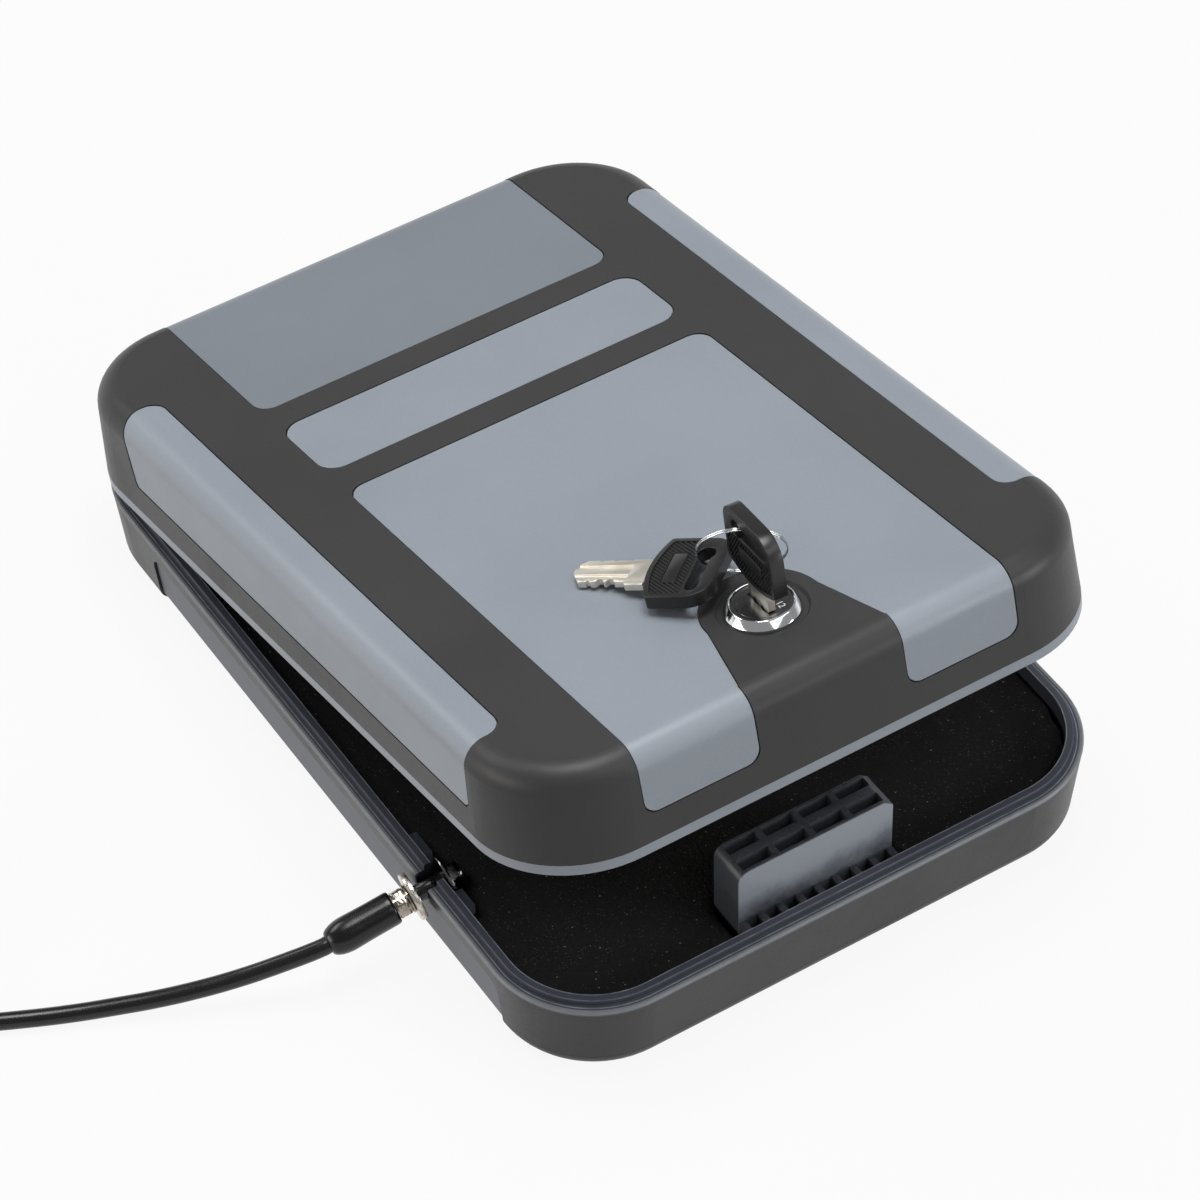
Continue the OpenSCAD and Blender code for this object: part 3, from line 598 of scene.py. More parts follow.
@dataclass(frozen=True)
class VinylSheath:
    """Smooth black cable sheath with a faint twist of the strands under it."""

    name: str = "sheath_black"
    colour: Point = (0.004, 0.004, 0.0045)
    rough: float = 0.2
    specular: float = 0.48

    def make(self) -> Material:
        """Builds the node material.

        Returns:
            The material.
        """
        r = Recipe(self.name)
        at = r.here()
        ripple = r.cloud(at, 260.0, 3.0, 0.5)
        dust = r.ramp(r.cloud(at, 1900.0, 2.0, 0.6), 0.6, 0.8)
        tone = r.blend(dust * 0.2, self.colour, (0.03, 0.03, 0.032))
        roughness = ripple * 0.10 + (dust * 0.1 + self.rough)
        return r.finish(Base_Color=tone, Roughness=roughness, Specular_IOR_Level=self.specular,
                        Normal=r.bump(ripple, 0.25, 0.06 * MM))


class Finishes:
    """All finishes of the object, made once."""

    def __init__(self) -> None:
        """Builds every material."""
        self.shell = MouldedPlastic("shell_blue_gray", (0.24, 0.266, 0.304), rough=0.38, rear_shade=0.72).make()
        # painted shade: the tray is the same blue-gray plastic as the lid's shell, given a much darker colour
        # that stands in for the shade and dark reflections on it
        self.tray = TrayPlastic("tray_blue_gray", (0.056, 0.061, 0.082), rough=0.42).make()
        self.keeper = KeeperPlastic("keeper_blue_gray", (0.25, 0.275, 0.315), rough=0.42).make()
        self.overmould = SoftOvermould().make()
        self.foam = CellFoam().make()
        self.chrome = PlatedMetal("chrome", (0.78, 0.79, 0.80), 0.05, scratches=0.05, tarnish=0.04).make()
        self.stamped = PlatedMetal("stamped_numerals", (0.9, 0.9, 0.89), 0.55).make()
        self.worn_chrome = PlatedMetal("chrome_worn", (0.2, 0.2, 0.2), 0.1, stain=(0.05, 0.045, 0.04)).make()
        # dark satin plating, darkened further to stand in for the shadow and dark reflections on the plug's
        # face
        self.plug = PlatedMetal("chrome_satin", (0.17, 0.17, 0.175), 0.16, scratches=0.12, tarnish=0.3).make()
        self.fitting = PlatedMetal("fitting_nickel", (0.38, 0.335, 0.29), 0.1, tarnish=0.4).make()
        self.flange = PlatedMetal("flange_nickel", (0.78, 0.72, 0.66), 0.24, stain=(0.24, 0.2, 0.17)).make()
        self.steel = PlatedMetal("zinc_steel", (0.56, 0.56, 0.55), 0.26).make()
        self.nickel = PlatedMetal("nickel_silver", (0.82, 0.78, 0.69), 0.3, tarnish=0.16).make()
        self.key_plastic = MouldedPlastic(
            "key_black", (0.009, 0.009, 0.0095), rough=0.33, grain=2600.0, grain_depth=0.008).make()
        self.sheath = VinylSheath().make()
        self.sleeve = VinylSheath("sleeve_black", (0.0025, 0.0025, 0.003), 0.2, 0.42).make()


class Bench:
    """Modelling by operators on one piece at a time, in millimetres."""

    @staticmethod
    def clear() -> None:
        """Deselects everything."""
        for o in bpy.context.view_layer.objects.selected[:]:
            o.select_set(False)

    @staticmethod
    def take(piece: Piece) -> None:
        """Makes a piece the only selected and active one.

        Args:
            piece: The piece to work on.
        """
        Bench.clear()
        piece.select_set(True)
        bpy.context.view_layer.objects.active = piece

    @staticmethod
    def edit(piece: Piece) -> None:
        """Enters edit mode with everything selected.

        Args:
            piece: The piece to edit.
        """
        Bench.take(piece)
        bpy.ops.object.mode_set(mode="EDIT")
        bpy.ops.mesh.select_mode(type="VERT")
        bpy.ops.mesh.select_all(action="SELECT")

    @staticmethod
    def close(piece: Piece) -> Piece:
        """Merges doubles, turns all faces outwards and leaves edit mode.

        Args:
            piece: The piece that is being edited.

        Returns:
            The piece.
        """
        bpy.ops.mesh.select_all(action="SELECT")
        bpy.ops.mesh.remove_doubles(threshold=0.002 * MM)
        bpy.ops.mesh.normals_make_consistent(inside=False)
        bpy.ops.object.mode_set(mode="OBJECT")
        return piece

    @staticmethod
    def turned(name: str, profile: Sequence[Flat], sides: int = 64,
               ring: bool = False) -> Piece:
        """Turns a profile about Z, as on a lathe.

        Args:
            name: Name of the piece.
            profile: Radius and height of each corner, from one end cap to the other.
            sides: Sides round the axis.
            ring: Whether the profile closes on itself round a through bore.

        Returns:
            The turned piece.
        """
        Bench.clear()
        bpy.ops.mesh.primitive_circle_add(vertices=sides, radius=profile[0][0] * MM,
                                          fill_type="NOTHING" if ring else "NGON", location=(0, 0, 0))
        piece = bpy.context.object
        piece.name = name
        Bench.edit(piece)
        bpy.ops.transform.translate(value=(0, 0, profile[0][1] * MM))
        steps = list(zip(profile, list(profile[1:]) + (list(profile[:1]) if ring else [])))
        for (r0, z0), (r1, z1) in steps:
            bpy.ops.mesh.extrude_region_move(TRANSFORM_OT_translate={"value": (0, 0, (z1 - z0) * MM)})
            if abs(r1 - r0) > 1e-6:
                bpy.ops.transform.resize(value=(r1 / r0, r1 / r0, 1.0), center_override=(0, 0, z1 * MM))
        return Bench.close(piece)

    @staticmethod
    def rod(name: str, radius: float, z0: float, z1: float, sides: int) -> Piece:
        """A round rod along Z."""
        return Bench.turned(name, [(radius, z0), (radius, z1)], sides)

    @staticmethod
    def wire(name: str, knots: Sequence[Sequence[float]], radius: float, along: int, around: int) -> Piece:
        """A smooth round wire with closed ends.

        Args:
            name: Name of the piece.
            knots: What it passes through, in metres.
            radius: Its radius.
            along: Steps from knot to knot.
            around: Resolution of its roundness.

        Returns:
            The wire, as a curve.
        """
        Bench.clear()
        bpy.ops.curve.primitive_bezier_curve_add(location=(0, 0, 0))
        piece = bpy.context.object
        piece.name = name
        data, spline = piece.data, piece.data.splines[0]
        spline.bezier_points.add(len(knots) - len(spline.bezier_points))
        for knot, place in zip(spline.bezier_points, knots):
            knot.co = place
            knot.handle_left_type = knot.handle_right_type = "AUTO"
        data.dimensions = "3D"
        data.resolution_u = data.render_resolution_u = along
        data.bevel_depth, data.bevel_resolution, data.use_fill_caps = radius * MM, around, True
        return piece

    @staticmethod
    def plate(name: str, points: Sequence[Flat], z0: float, z1: float) -> Piece:
        """A flat plate: a disc whose corners move to an outline, extruded.

        Args:
            name: Name of the piece.
            points: Outline, counter-clockwise.
            z0: Height of the underside.
            z1: Height of the upper side.

        Returns:
            The plate.
        """
        Bench.clear()
        bpy.ops.mesh.primitive_circle_add(vertices=len(points), radius=MM, fill_type="NGON",
                                          location=(0, 0, 0))
        piece = bpy.context.object
        piece.name = name
        for vert, (x, y) in zip(piece.data.vertices, points):
            vert.co = (x * MM, y * MM, z0 * MM)
        Bench.edit(piece)
        bpy.ops.mesh.extrude_region_move(TRANSFORM_OT_translate={"value": (0, 0, (z1 - z0) * MM)})
        return Bench.close(piece)

    @staticmethod
    def brick(name: str, low: Point, high: Point) -> Piece:
        """A block between two corners, ready to be cut or bevelled.

        Args:
            name: Name of the piece.
            low: Lowest corner.
            high: Highest corner.

        Returns:
            The block.
        """
        Bench.clear()
        middle = [(a + b) / 2 * MM for a, b in zip(low, high)]
        bpy.ops.mesh.primitive_cube_add(size=1.0, location=middle,
                                        scale=[(b - a) * MM for a, b in zip(low, high)])
        piece = bpy.context.object
        piece.name = name
        bpy.ops.object.transform_apply(location=True, rotation=True, scale=True)
        return piece

    @staticmethod
    def modify(piece: Piece, kind: str, **settings: Any) -> Piece:
        """Adds a modifier, sets it and applies it.

        Args:
            piece: The piece.
            kind: Blender's modifier type.
            settings: Settings of the modifier.

        Returns:
            The piece.
        """
        modifier = piece.modifiers.new(kind.lower(), kind)
        for key, value in settings.items():
            setattr(modifier, key, value)
        Bench.take(piece)
        bpy.ops.object.modifier_apply(modifier=modifier.name)
        return piece

    @staticmethod
    def carve(piece: Piece, *cutters: Piece, how: str = "DIFFERENCE") -> Piece:
        """Cuts a piece with others, which are used up.

        Args:
            piece: The piece.
            cutters: The cutting solids.
            how: Operation of the Boolean modifier.

        Returns:
            The piece.
        """
        for cutter in cutters:
            Bench.modify(piece, "BOOLEAN", operation=how, solver="EXACT", object=cutter)
            bpy.data.objects.remove(cutter, do_unlink=True)
        return piece

    @staticmethod
    def soften(piece: Piece, width: float, segments: int = 2, angle: float = 32.0) -> Piece:
        """Rounds the sharp edges.

        Args:
            piece: The piece.
            width: Width of the rounding in millimetres.
            segments: Steps of the rounding.
            angle: Smallest turn between faces that counts as an edge, in degrees.

        Returns:
            The piece.
        """
        return Bench.modify(piece, "BEVEL", width=width * MM, segments=segments, limit_method="ANGLE",
                            angle_limit=math.radians(angle), use_clamp_overlap=True, miter_outer="MITER_ARC")

    @staticmethod
    def join(name: str, pieces: Sequence[Piece]) -> Piece:
        """Makes one piece of several.

        Args:
            name: Name of the result.
            pieces: What is joined.

        Returns:
            The joined piece.
        """
        Bench.take(pieces[0])
        for piece in pieces[1:]:
            piece.select_set(True)
        bpy.ops.object.join()
        pieces[0].name = name
        return pieces[0]

    @staticmethod
    def copy(piece: Piece, name: str) -> Piece:
        """A copy with its own mesh.

        Args:
            piece: What is copied.
            name: Name of the copy.

        Returns:
            The copy.
        """
        twin = piece.copy()
        twin.data = piece.data.copy()
        twin.name = name
        bpy.context.scene.collection.objects.link(twin)
        return twin

    @staticmethod
    def place(piece: Piece, where: Matrix) -> Piece:
        """Puts a piece where it belongs, with its place in its mesh.

        Args:
            piece: The piece.
            where: Its place in the frame.

        Returns:
            The piece.
        """
        Bench.take(piece)
        piece.matrix_world = where
        bpy.ops.object.transform_apply(location=True, rotation=True, scale=True)
        return piece

    @staticmethod
    def smooth(piece: Piece, angle: float = 34.0) -> Piece:
        """Shades a piece smooth except at its sharp edges.

        Args:
            piece: The piece.
            angle: Smallest turn between faces that stays sharp, in degrees.

        Returns:
            The piece.
        """
        Bench.take(piece)
        bpy.ops.object.shade_smooth_by_angle(angle=math.radians(angle))
        return piece

    @staticmethod
    def paint(piece: Piece, material: Material) -> None:
        """Gives a piece one finish in place of any other.

        Args:
            piece: The piece.
            material: Its finish.
        """
        piece.data.materials.clear()
        piece.data.materials.append(material)
        LOG.info("finished %s", piece.name)

    @staticmethod
    def dress(piece: Piece, material: Material, body: Body, slot: Slot, *stands_for: str) -> Piece:
        """Gives a piece its finish and its body, and hides the CAD nodes it replaces.

        Args:
            piece: The finished piece.
            material: Its finish.
            body: The body it rides on.
            slot: The record's material slot; not used.
            stands_for: CAD nodes that it replaces.

        Returns:
            The piece.
        """
        Bench.paint(piece, material)
        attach(piece, body.value)
        if stands_for:
            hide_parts(*stands_for)
        LOG.info("%s rides on %s", piece.name, body.value)
        return piece


@dataclass(frozen=True)
class TetherCable:
    """The cable from its clamped fitting over the floor to its eye, with all that is on it."""

    finishes: Finishes
    diameter: float = 4.8
    pitch: float = 13.0
    yaw: float = 5.5
    fitting: Point = (-90.5, -62.0, 21.2)
    sleeve_from: float = 6.4
    sleeve_to: float = 26.0
    inner_at: float = -8.6
    coil_at: Flat = (-221.0, 26.0)
    coil_start: float = 242.0
    coil_mid_r: float = 28.8
    coil_turns: float = 2.25
    lead: float = 26.0
    crimp: float = 15.0
    eye_length: float = 46.0
    eye_bulge: float = 20.0
    free: tuple[Point, ...] = (
        (-128.5, -55.5, 11.5), (-138.5, -51.5, 8.5), (-148.3, -47.5, 6.4), (-157.9, -43.2, 4.7),
        (-167.4, -38.8, 3.6), (-178, -33.9, 2.75), (-190, -28.2, 2.5), (-202, -22.1, 2.5),
        (-214, -15.3, 2.5), (-225, -9, 2.5))

    @property
    def out(self) -> Vector:
        """Direction in which the cable leaves the box."""
        p, w = math.radians(self.pitch), math.radians(self.yaw)
        return Vector((-math.cos(p) * math.cos(w), math.cos(p) * math.sin(w), -math.sin(p)))

    @property
    def step(self) -> float:
        """Distance between neighbouring turns of the coil."""
        return self.diameter + 0.8

    @property
    def lie_z(self) -> float:
        """Height of the cable's middle where it lies on the floor."""
        return self.diameter / 2 + 0.1

    @property
    def coil_total(self) -> float:
        """Degrees from the coil's start to its end: in, half a turn back, out."""
        return 2 * 360 * self.coil_turns + 180

    @property
    def eye_half(self) -> float:
        """Half the distance between the two cables in the crimp."""
        return (self.diameter + 0.4) / 2

    @property
    def eye_z(self) -> float:
        """Height of the cables' middle in the crimp."""
        return self.diameter / 2 + 1.4

    @property
    def ahead(self) -> Vector:
        """Direction of the cable where the coil starts and ends."""
        a = math.radians(self.coil_start)
        return Vector((math.sin(a), -math.cos(a), 0.0))

    def on_coil(self, turn: float) -> Vector:
        """A point of the coil: in on the floor, up where it reverses, out on top.

        Args:
            turn: Degrees from the coil's start.

        Returns:
            The point in millimetres.
        """
        span = 360 * self.coil_turns
        rate = self.step / 360
        inner = self.coil_mid_r - self.coil_turns * self.step / 2
        if turn < span:
            radius, height = inner + rate * (span - turn), self.lie_z
        elif turn < span + 180:
            a = math.radians(turn - span)
            # 57.3 degrees make a radian, so the way back starts with the spiral's own slope
            radius = inner - rate * 57.3 * math.sin(a)
            height = self.lie_z + self.step * (1 - math.cos(a)) / 2
        else:
            radius, height = inner + rate * (turn - span - 180), self.lie_z + self.step
        a = math.radians(self.coil_start - turn)
        x, y = self.coil_at
        return Vector((x + radius * math.cos(a), y + radius * math.sin(a), height))

    @property
    def coil_ends(self) -> tuple[Vector, Vector]:
        """First and last point of the coil with its straight leads."""
        lead = self.diameter * self.ahead
        return self.on_coil(0) - lead, self.on_coil(self.coil_total) + lead

    def from_coil(self, x: float, y: float, z: float) -> Vector:
        """A point of the eye, counted from the end of the coil.

        Args:
            x: Distance along the cable's direction there.
            y: Distance to its side.
            z: Height over the floor.

        Returns:
            The point in millimetres.
        """
        last = self.coil_ends[1]
        aside = Vector((self.ahead.y, -self.ahead.x, 0.0))
        return Vector((last.x, last.y, 0.0)) + x * self.ahead + y * aside + Vector((0, 0, z))

    def eye(self) -> list[Point]:
        """The eye's points: down from the coil, through the crimp, round and back into it.

        Returns:
            Points counted from the end of the coil.
        """
        lead, crimp, half, eye_z = self.lead, self.crimp, self.eye_half, self.eye_z
        top = self.lie_z + self.step
        points = [(0, 0, top), (self.diameter, 0, top), (12, 0.9, 6.6), (19, 2.1, 4.6), (lead, half, eye_z),
                  (lead + crimp, half, eye_z)]
        for k in range(23):
            t = 2 * math.pi * (0.06 + 0.04 * k)
            points.append((lead + crimp + 4 + self.eye_length * (1 - math.cos(t)) / 2,
                           half * math.cos(t / 2) + self.eye_bulge * math.sin(t) * math.sin(t / 2) ** 2,
                           eye_z - (eye_z - self.lie_z) * (1 - math.cos(t)) / 2))
        return points + [(lead + crimp, -half, eye_z), (lead - 1, -half, eye_z)]

    def route(self) -> list[Vector]:
        """The whole way of the cable, in millimetres.

        Returns:
            The points that the cable passes through.
        """
        start, first = Vector(self.fitting), self.coil_ends[0]
        way = [start + far * self.out for far in (
            self.sleeve_from + 3.4, self.sleeve_to - 6, self.sleeve_to, self.sleeve_to + 1.5)]
        way += [Vector(p) for p in self.free]
        way += [first - self.diameter * self.ahead, first]
        way += [self.on_coil(15.0 * k) for k in range(int(self.coil_total / 15) + 1)]
        return way + [self.from_coil(*p) for p in self.eye()]

    def make_cable(self) -> Piece:
        """Draws the sheathed cable as one smooth curve along its route."""
        return Bench.wire("tether_cable", [p * MM for p in self.route()], self.diameter / 2, 5, 7)

    def make_sleeve(self) -> Piece:
        """Turns the moulded sleeve that swells and then closes on the cable.

        Returns:
            The sleeve, along the fitting's axis.
        """
        a, b = self.sleeve_from + 0.1, self.sleeve_to
        piece = Bench.turned("cable_sleeve_moulded", [
            (3.6, a + 0.9), (3.6, a + 0.1), (3.75, a), (4.1, a), (4.42, a + 0.22), (4.56, a + 0.8),
            (4.58, a + 2), (4.6, a + 7), (4.68, a + 11), (4.74, a + 13), (4.74, a + 14.4), (4.6, a + 15.8),
            (4.25, b - 2.2), (3.75, b - 1.0), (3.3, b - 0.35), (2.85, b), (2.44, b), (2.42, a + 10),
            (2.42, a + 3.2)], 72)
        return Bench.smooth(piece, 50)

    def make_neck(self) -> Piece:
        """Turns the sheathed stretch of cable between the two washers.

        Returns:
            The neck, along the fitting's axis.
        """
        half = self.diameter / 2
        piece = Bench.turned("cable_neck_sheathed", [
            (half - 0.3, self.inner_at - 1.1), (half, self.inner_at - 0.9), (half, -5.6), (half + 0.12, -5.2),
            (half + 0.12, -2.2), (half, -1.8), (half, 1.7), (half - 0.3, 1.9)], 56)
        return Bench.smooth(piece, 50)

    def make_ferrule(self) -> Piece:
        """Makes the ferrule: a collar, then a six-sided crimped barrel with two rolled grooves.

        Returns:
            The ferrule, along the fitting's axis.
        """
        collar = Bench.turned("ferrule_collar", [
            (2.5, 1.9), (3.75, 1.9), (3.98, 2.1), (3.98, 2.55), (3.5, 2.8), (3.5, 9.2), (3.3, 9.4)], 72)
        corners = arc(0, 0, 4.02, range(14, 374, 60))
        barrel = Bench.soften(Bench.plate("ferrule_barrel", corners, 3.0, 6.3), 0.3, 3)
        grooves = [Bench.turned("groove", [(3.62, z), (4.3, z), (4.3, z + 0.25), (3.62, z + 0.25)], 48,
                                ring=True) for z in (3.9, 5.1)]
        Bench.carve(barrel, *grooves)
        return Bench.smooth(Bench.join("cable_ferrule_crimped", [collar, barrel]), 30)

    def make_washer(self, name: str, at: float, radius: float, thick: float) -> Piece:
        """Turns one washer with rounded rims.

        Args:
            name: Name of the piece.
            at: Place of its inner face along the fitting.
            radius: Its outer radius.
            thick: Its thickness.

        Returns:
            The washer.
        """
        piece = Bench.turned(name, [
            (2.5, at + 0.12), (2.62, at), (radius - 0.2, at), (radius - 0.05, at + 0.06), (radius, at + 0.18),
            (radius, at + thick - 0.2), (radius - 0.07, at + thick - 0.05), (radius - 0.23, at + thick),
            (3.1, at + thick), (2.9, at + thick - 0.07), (2.5, at + thick - 0.07)], 96, ring=True)
        return Bench.smooth(piece, 40)

    def make_stop(self) -> Piece:
        """Turns the swaged stop at the inner end.

        Returns:
            The stop, along the fitting's axis.
        """
        z = self.inner_at - 1.1
        piece = Bench.turned("cable_stop_swaged", [
            (1.0, z - 3.1), (1.3, z - 3.4), (2.5, z - 3.4), (2.9, z - 2.9), (2.9, z - 2.1), (2.7, z - 1.95),
            (2.7, z - 1.75), (2.9, z - 1.6), (2.9, z - 0.95), (3.45, z - 0.9), (3.6, z - 0.75),
            (3.6, z - 0.12), (3.45, z), (1.2, z)], 48)
        return Bench.smooth(piece, 40)

    def make_crimp(self) -> Piece:
        """Makes the oval pressed sleeve that holds the eye.

        Returns:
            The sleeve in its place.
        """
        wall, half, length = self.diameter / 2 + 1.2, self.eye_half, self.crimp - 2
        rim = arc(0, half, wall, range(0, 181, 12))
        rim += [(-x, -y) for x, y in rim]
        body = Bench.plate("loop_sleeve_pressed", rim, 0.0, length)
        for y in (-half, half):
            bore = Bench.rod("bore", self.diameter / 2 + 0.1, -1.0, length + 1, 40)
            Bench.carve(body, Bench.place(bore, move(0, y, 0)))
        for side in (-1, 1):
            for z in (3.2, 6.5, 9.8):
                press = Bench.rod("press", 0.9, -9.0, 9.0, 20)
                Bench.carve(body, Bench.place(press, move(side * (wall + 0.55), 0, z) @ scad_turn(90, 0, 0)))
        Bench.soften(body, 0.3, 2)
        angle = math.degrees(math.atan2(self.ahead.y, self.ahead.x))
        Bench.place(body, move(*self.from_coil(self.lead + 1, 0, self.eye_z)) @ scad_turn(0, 0, angle)
                    @ scad_turn(0, 90, 0))
        return Bench.smooth(body, 30)

    def build(self) -> None:
        made = self.finishes
        where = move(*self.fitting) @ scad_turn(0, -self.pitch, -self.yaw) @ scad_turn(0, -90, 0)
        cable = Bench.dress(self.make_cable(), made.sheath, Body.BASE, Slot.SHEATH,
                            "cable", "cable_coil", "cable_loop")
        fitted = [
            (self.make_sleeve(), made.sleeve, Slot.SHEATH, ["cable_sleeve"]),
            (self.make_ferrule(), made.fitting, Slot.CHROME, ["cable_ferrule"]),
            (self.make_neck(), made.sheath, Slot.SHEATH, []),
            (self.make_washer("outer_washer_turned", 0.0, 6.7, 1.8),
             made.flange, Slot.STEEL, ["outer_washer"]),
            (self.make_washer("inner_washer_turned", self.inner_at - 1, 6.35, 1.0),
             made.worn_chrome, Slot.CHROME, ["inner_washer"]),
            (self.make_stop(), made.worn_chrome, Slot.CHROME, ["cable_stop"])]
        for piece, finish, slot, nodes in fitted:
            Bench.dress(Bench.place(piece, where), finish, Body.BASE, slot, *nodes)
        crimp = Bench.dress(self.make_crimp(), made.steel, Body.BASE, Slot.STEEL, "loop_sleeve")
        [row[0] for row in fitted] + [crimp]


@dataclass(frozen=True)
class KeySet:
    """Two keys with moulded heads on one split ring; one key stands in the lock."""

    finishes: Finishes
    length: float = 19.4
    width: float = 25.0
    thick: float = 3.8
    near_corner: float = 4.6
    far_corner: float = 7.0
    arc: float = 30.0
    slot_x: float = -4.3
    hole_y: float = 5.8
    hole_r: float = 2.5
    slot_half: float = 1.65
    slot_end_y: float = -8.2
    recess: float = 0.42
    recess_in: Flat = (1.45, 2.5)
    field_in: Flat = (1.6, 2.65)
    window: Point = (0.3, 4.9, 6.4)
    ridge_x: float = 3.2
    ridge_turn: float = 52.0
    ridge_pitch: float = 0.96
    blade_w: float = 8.9
    shoulder: Point = (5.5, 1.4, 0.25)
    blade_t: float = 2.0
    blade_l: float = 20.7
    tang: float = 8.0
    ring_r: float = 11.6
    bites: tuple[Flat, ...] = ((9.6, 1.2), (12.5, 1.2), (15.7, 0.6))
    back_bites: tuple[Flat, ...] = ((10.6, 0.25), (14.4, 0.35))
    grooves: tuple[Flat, ...] = ((1.7, 5.0), (-2.3, 5.4))
    groove_w: float = 1.3
    head_lift: float = 5.7
    spare_at: Point = (-10.1, -78.5, 60.35)
    spare_turn: float = 130.1
    spare_tilt: float = 7.3
    ring_at: Point = (2.0, -87.0, 66.4)
    ring_turn: float = 56.9
    ring_tilt: float = 63.0
    wire_r: float = 0.22
    turn_lift: float = 0.27
    ring_steps: int = 48

    def outline(self, inset: float) -> list[Flat]:
        """Outline of a head, moved inwards, counter-clockwise.

        Args:
            inset: Distance inwards.

        Returns:
            Points in millimetres.
        """
        r, half, back = self.arc - inset, self.width / 2 - inset, self.length / 2 - inset
        middle = self.length / 2 - self.arc
        reach = math.asin((half - 0.9) / r)
        points = [(middle + r * math.cos(a), r * math.sin(a))
                  for a in (reach * k / 12 for k in range(-12, 13))]
        tip = points[-1][0]
        points += [(tip - 0.35, half - 0.25), (tip - 1.0, half)]
        for side, corner, first in ((1, self.near_corner - inset, 90), (-1, self.far_corner - inset, 180)):
            points += arc(-back + corner, side * (half - corner), corner, range(first, first + 91, 9))
        return points + [(tip - 1.0, -half), (tip - 0.35, -half + 0.25)]

    def grip_field(self, name: str, inset: float, start: float, z0: float, z1: float) -> Piece:
        """Solid over the hatched field of a head.

        Args:
            name: Name of the solid.
            inset: Distance from the head's outline.
            start: Distance of the field from the slot's middle.
            z0: Lower end.
            z1: Upper end.

        Returns:
            The solid.
        """
        side = Bench.brick("side", (self.slot_x + start, -30, z0 - 1), (30, 30, z1 + 1))
        return Bench.carve(Bench.plate(name, self.outline(inset), z0, z1), side, how="INTERSECT")

    def layer(self, name: str, inset: float, low: float, high: float) -> Piece:
        """A block over the window of a head's hatched field.

        Args:
            name: Name of the block.
            inset: Distance inwards from the window's rim.
            low: Underside.
            high: Upper side.

        Returns:
            The block.
        """
        x0, x1, y = self.window
        return Bench.brick(name, (x0 + inset, -y + inset, low), (x1 - inset, y - inset, high))

    def make_face(self, side: int) -> list[Piece]:
        """Makes what lies in a head's recess: ridges, a small plate and a thin frame round it.

        Args:
            side: 1 for the upper face, -1 for the lower one.

        Returns:
            The pieces.
        """
        half = self.thick / 2
        low, high = sorted((side * (half - self.recess - 0.1), side * (half - 0.05)))
        bars = [Bench.soften(Bench.brick("bar", (k * self.ridge_pitch - 0.25, -24, low),
                                         (k * self.ridge_pitch + 0.25, 24, high)), 0.1, 1)
                for k in range(-21, 22)]
        ridges = Bench.place(Bench.join("ridges", bars),
                             move(self.ridge_x, 0, 0) @ scad_turn(0, 0, side * self.ridge_turn))
        field = Bench.carve(self.grip_field("field", *self.field_in, -4, 4), self.layer("window", 0, -6, 6))
        Bench.carve(ridges, field, how="INTERSECT")
        plate = Bench.soften(self.layer("plate", 0.4, low, high), 0.15, 2)
        rim = Bench.carve(self.layer("frame", 0.02, low, high), self.layer("frame_in", 0.2, -6, 6))
        return [ridges, plate, rim]

    def make_head(self) -> Piece:
        """Makes one moulded head, centred on its middle, tip towards +X.

        Returns:
            The head.
        """
        half, wide, x, y = self.thick / 2, self.slot_half, self.slot_x, self.hole_y
        head = Bench.plate("head", self.outline(0.0), -half, half)
        hole = Bench.place(Bench.rod("hole", self.hole_r, -5.0, 5.0, 40), move(x, y, 0))
        rim = arc(x, self.slot_end_y, wide, range(180, 361, 15)) + [(x + wide, y), (x - wide, y)]
        Bench.carve(head, hole, Bench.plate("slot", rim, -5.5, 5.5))
        Bench.soften(head, 0.85, 4, 40)
        mouth_y, mouth_z = self.blade_w / 2 + 0.05, self.blade_t / 2 + 0.05
        Bench.carve(head, Bench.brick("mouth", (self.length / 2 - self.tang, -mouth_y, -mouth_z),
                                      (30, mouth_y, mouth_z)))
        details: list[Piece] = []
        for side in (-1, 1):
            low, high = sorted((side * (half - self.recess), side * (half + 1)))
            Bench.carve(head, self.grip_field("recess", *self.recess_in, low, high))
            details += self.make_face(side)
        return Bench.smooth(Bench.join("key_head_moulded", [head] + details), 30)

    def make_blade(self) -> Piece:
        """Makes one cut blade with its two grooves on each face.

        Returns:
            The blade, in line with the head.
        """
        end, half, thick = self.length / 2, self.blade_w / 2, self.blade_t / 2
        start, neck, tip = end - self.tang + 0.1, end + 0.1, end + self.blade_l
        reach, drop, rise = end + self.shoulder[0], self.shoulder[1], self.shoulder[2]
        points = [(start, -half), (neck, -half), (neck, -half - drop), (reach - 0.4, -half - drop),
                  (reach, -half - drop + 0.4), (reach, -half)]
        for x, depth in self.bites:
            at = end + x
            points += [(at - depth, -half), (at - 0.4, -half + depth), (at + 0.4, -half + depth),
                       (at + depth, -half)]
        points += [(tip - 2.2, -half), (tip - 1.5, -half + 1.2), (tip, -0.9), (tip, 0.9),
                   (tip - 0.9, half - 1.5), (tip - 2.6, half)]
        for x, depth in reversed(self.back_bites):
            at = end + x
            points += [(at + depth + 0.3, half), (at + 0.3, half - depth), (at - 0.3, half - depth),
                       (at - depth - 0.3, half)]
        points += [(reach + 0.3, half), (reach, half + rise), (neck, half + rise), (neck, half),
                   (start, half)]
        blade = Bench.plate("key_blade_cut", points, -thick, thick)
        for side in (-1, 1):
            low, high = sorted((side * (thick - 0.45), side * 2.0))
            for y, x in self.grooves:
                Bench.carve(blade, Bench.brick("groove", (end + x, y - self.groove_w / 2, low),
                                               (tip + 2, y + self.groove_w / 2, high)))
        return Bench.smooth(Bench.soften(blade, 0.12, 2, 25), 25)

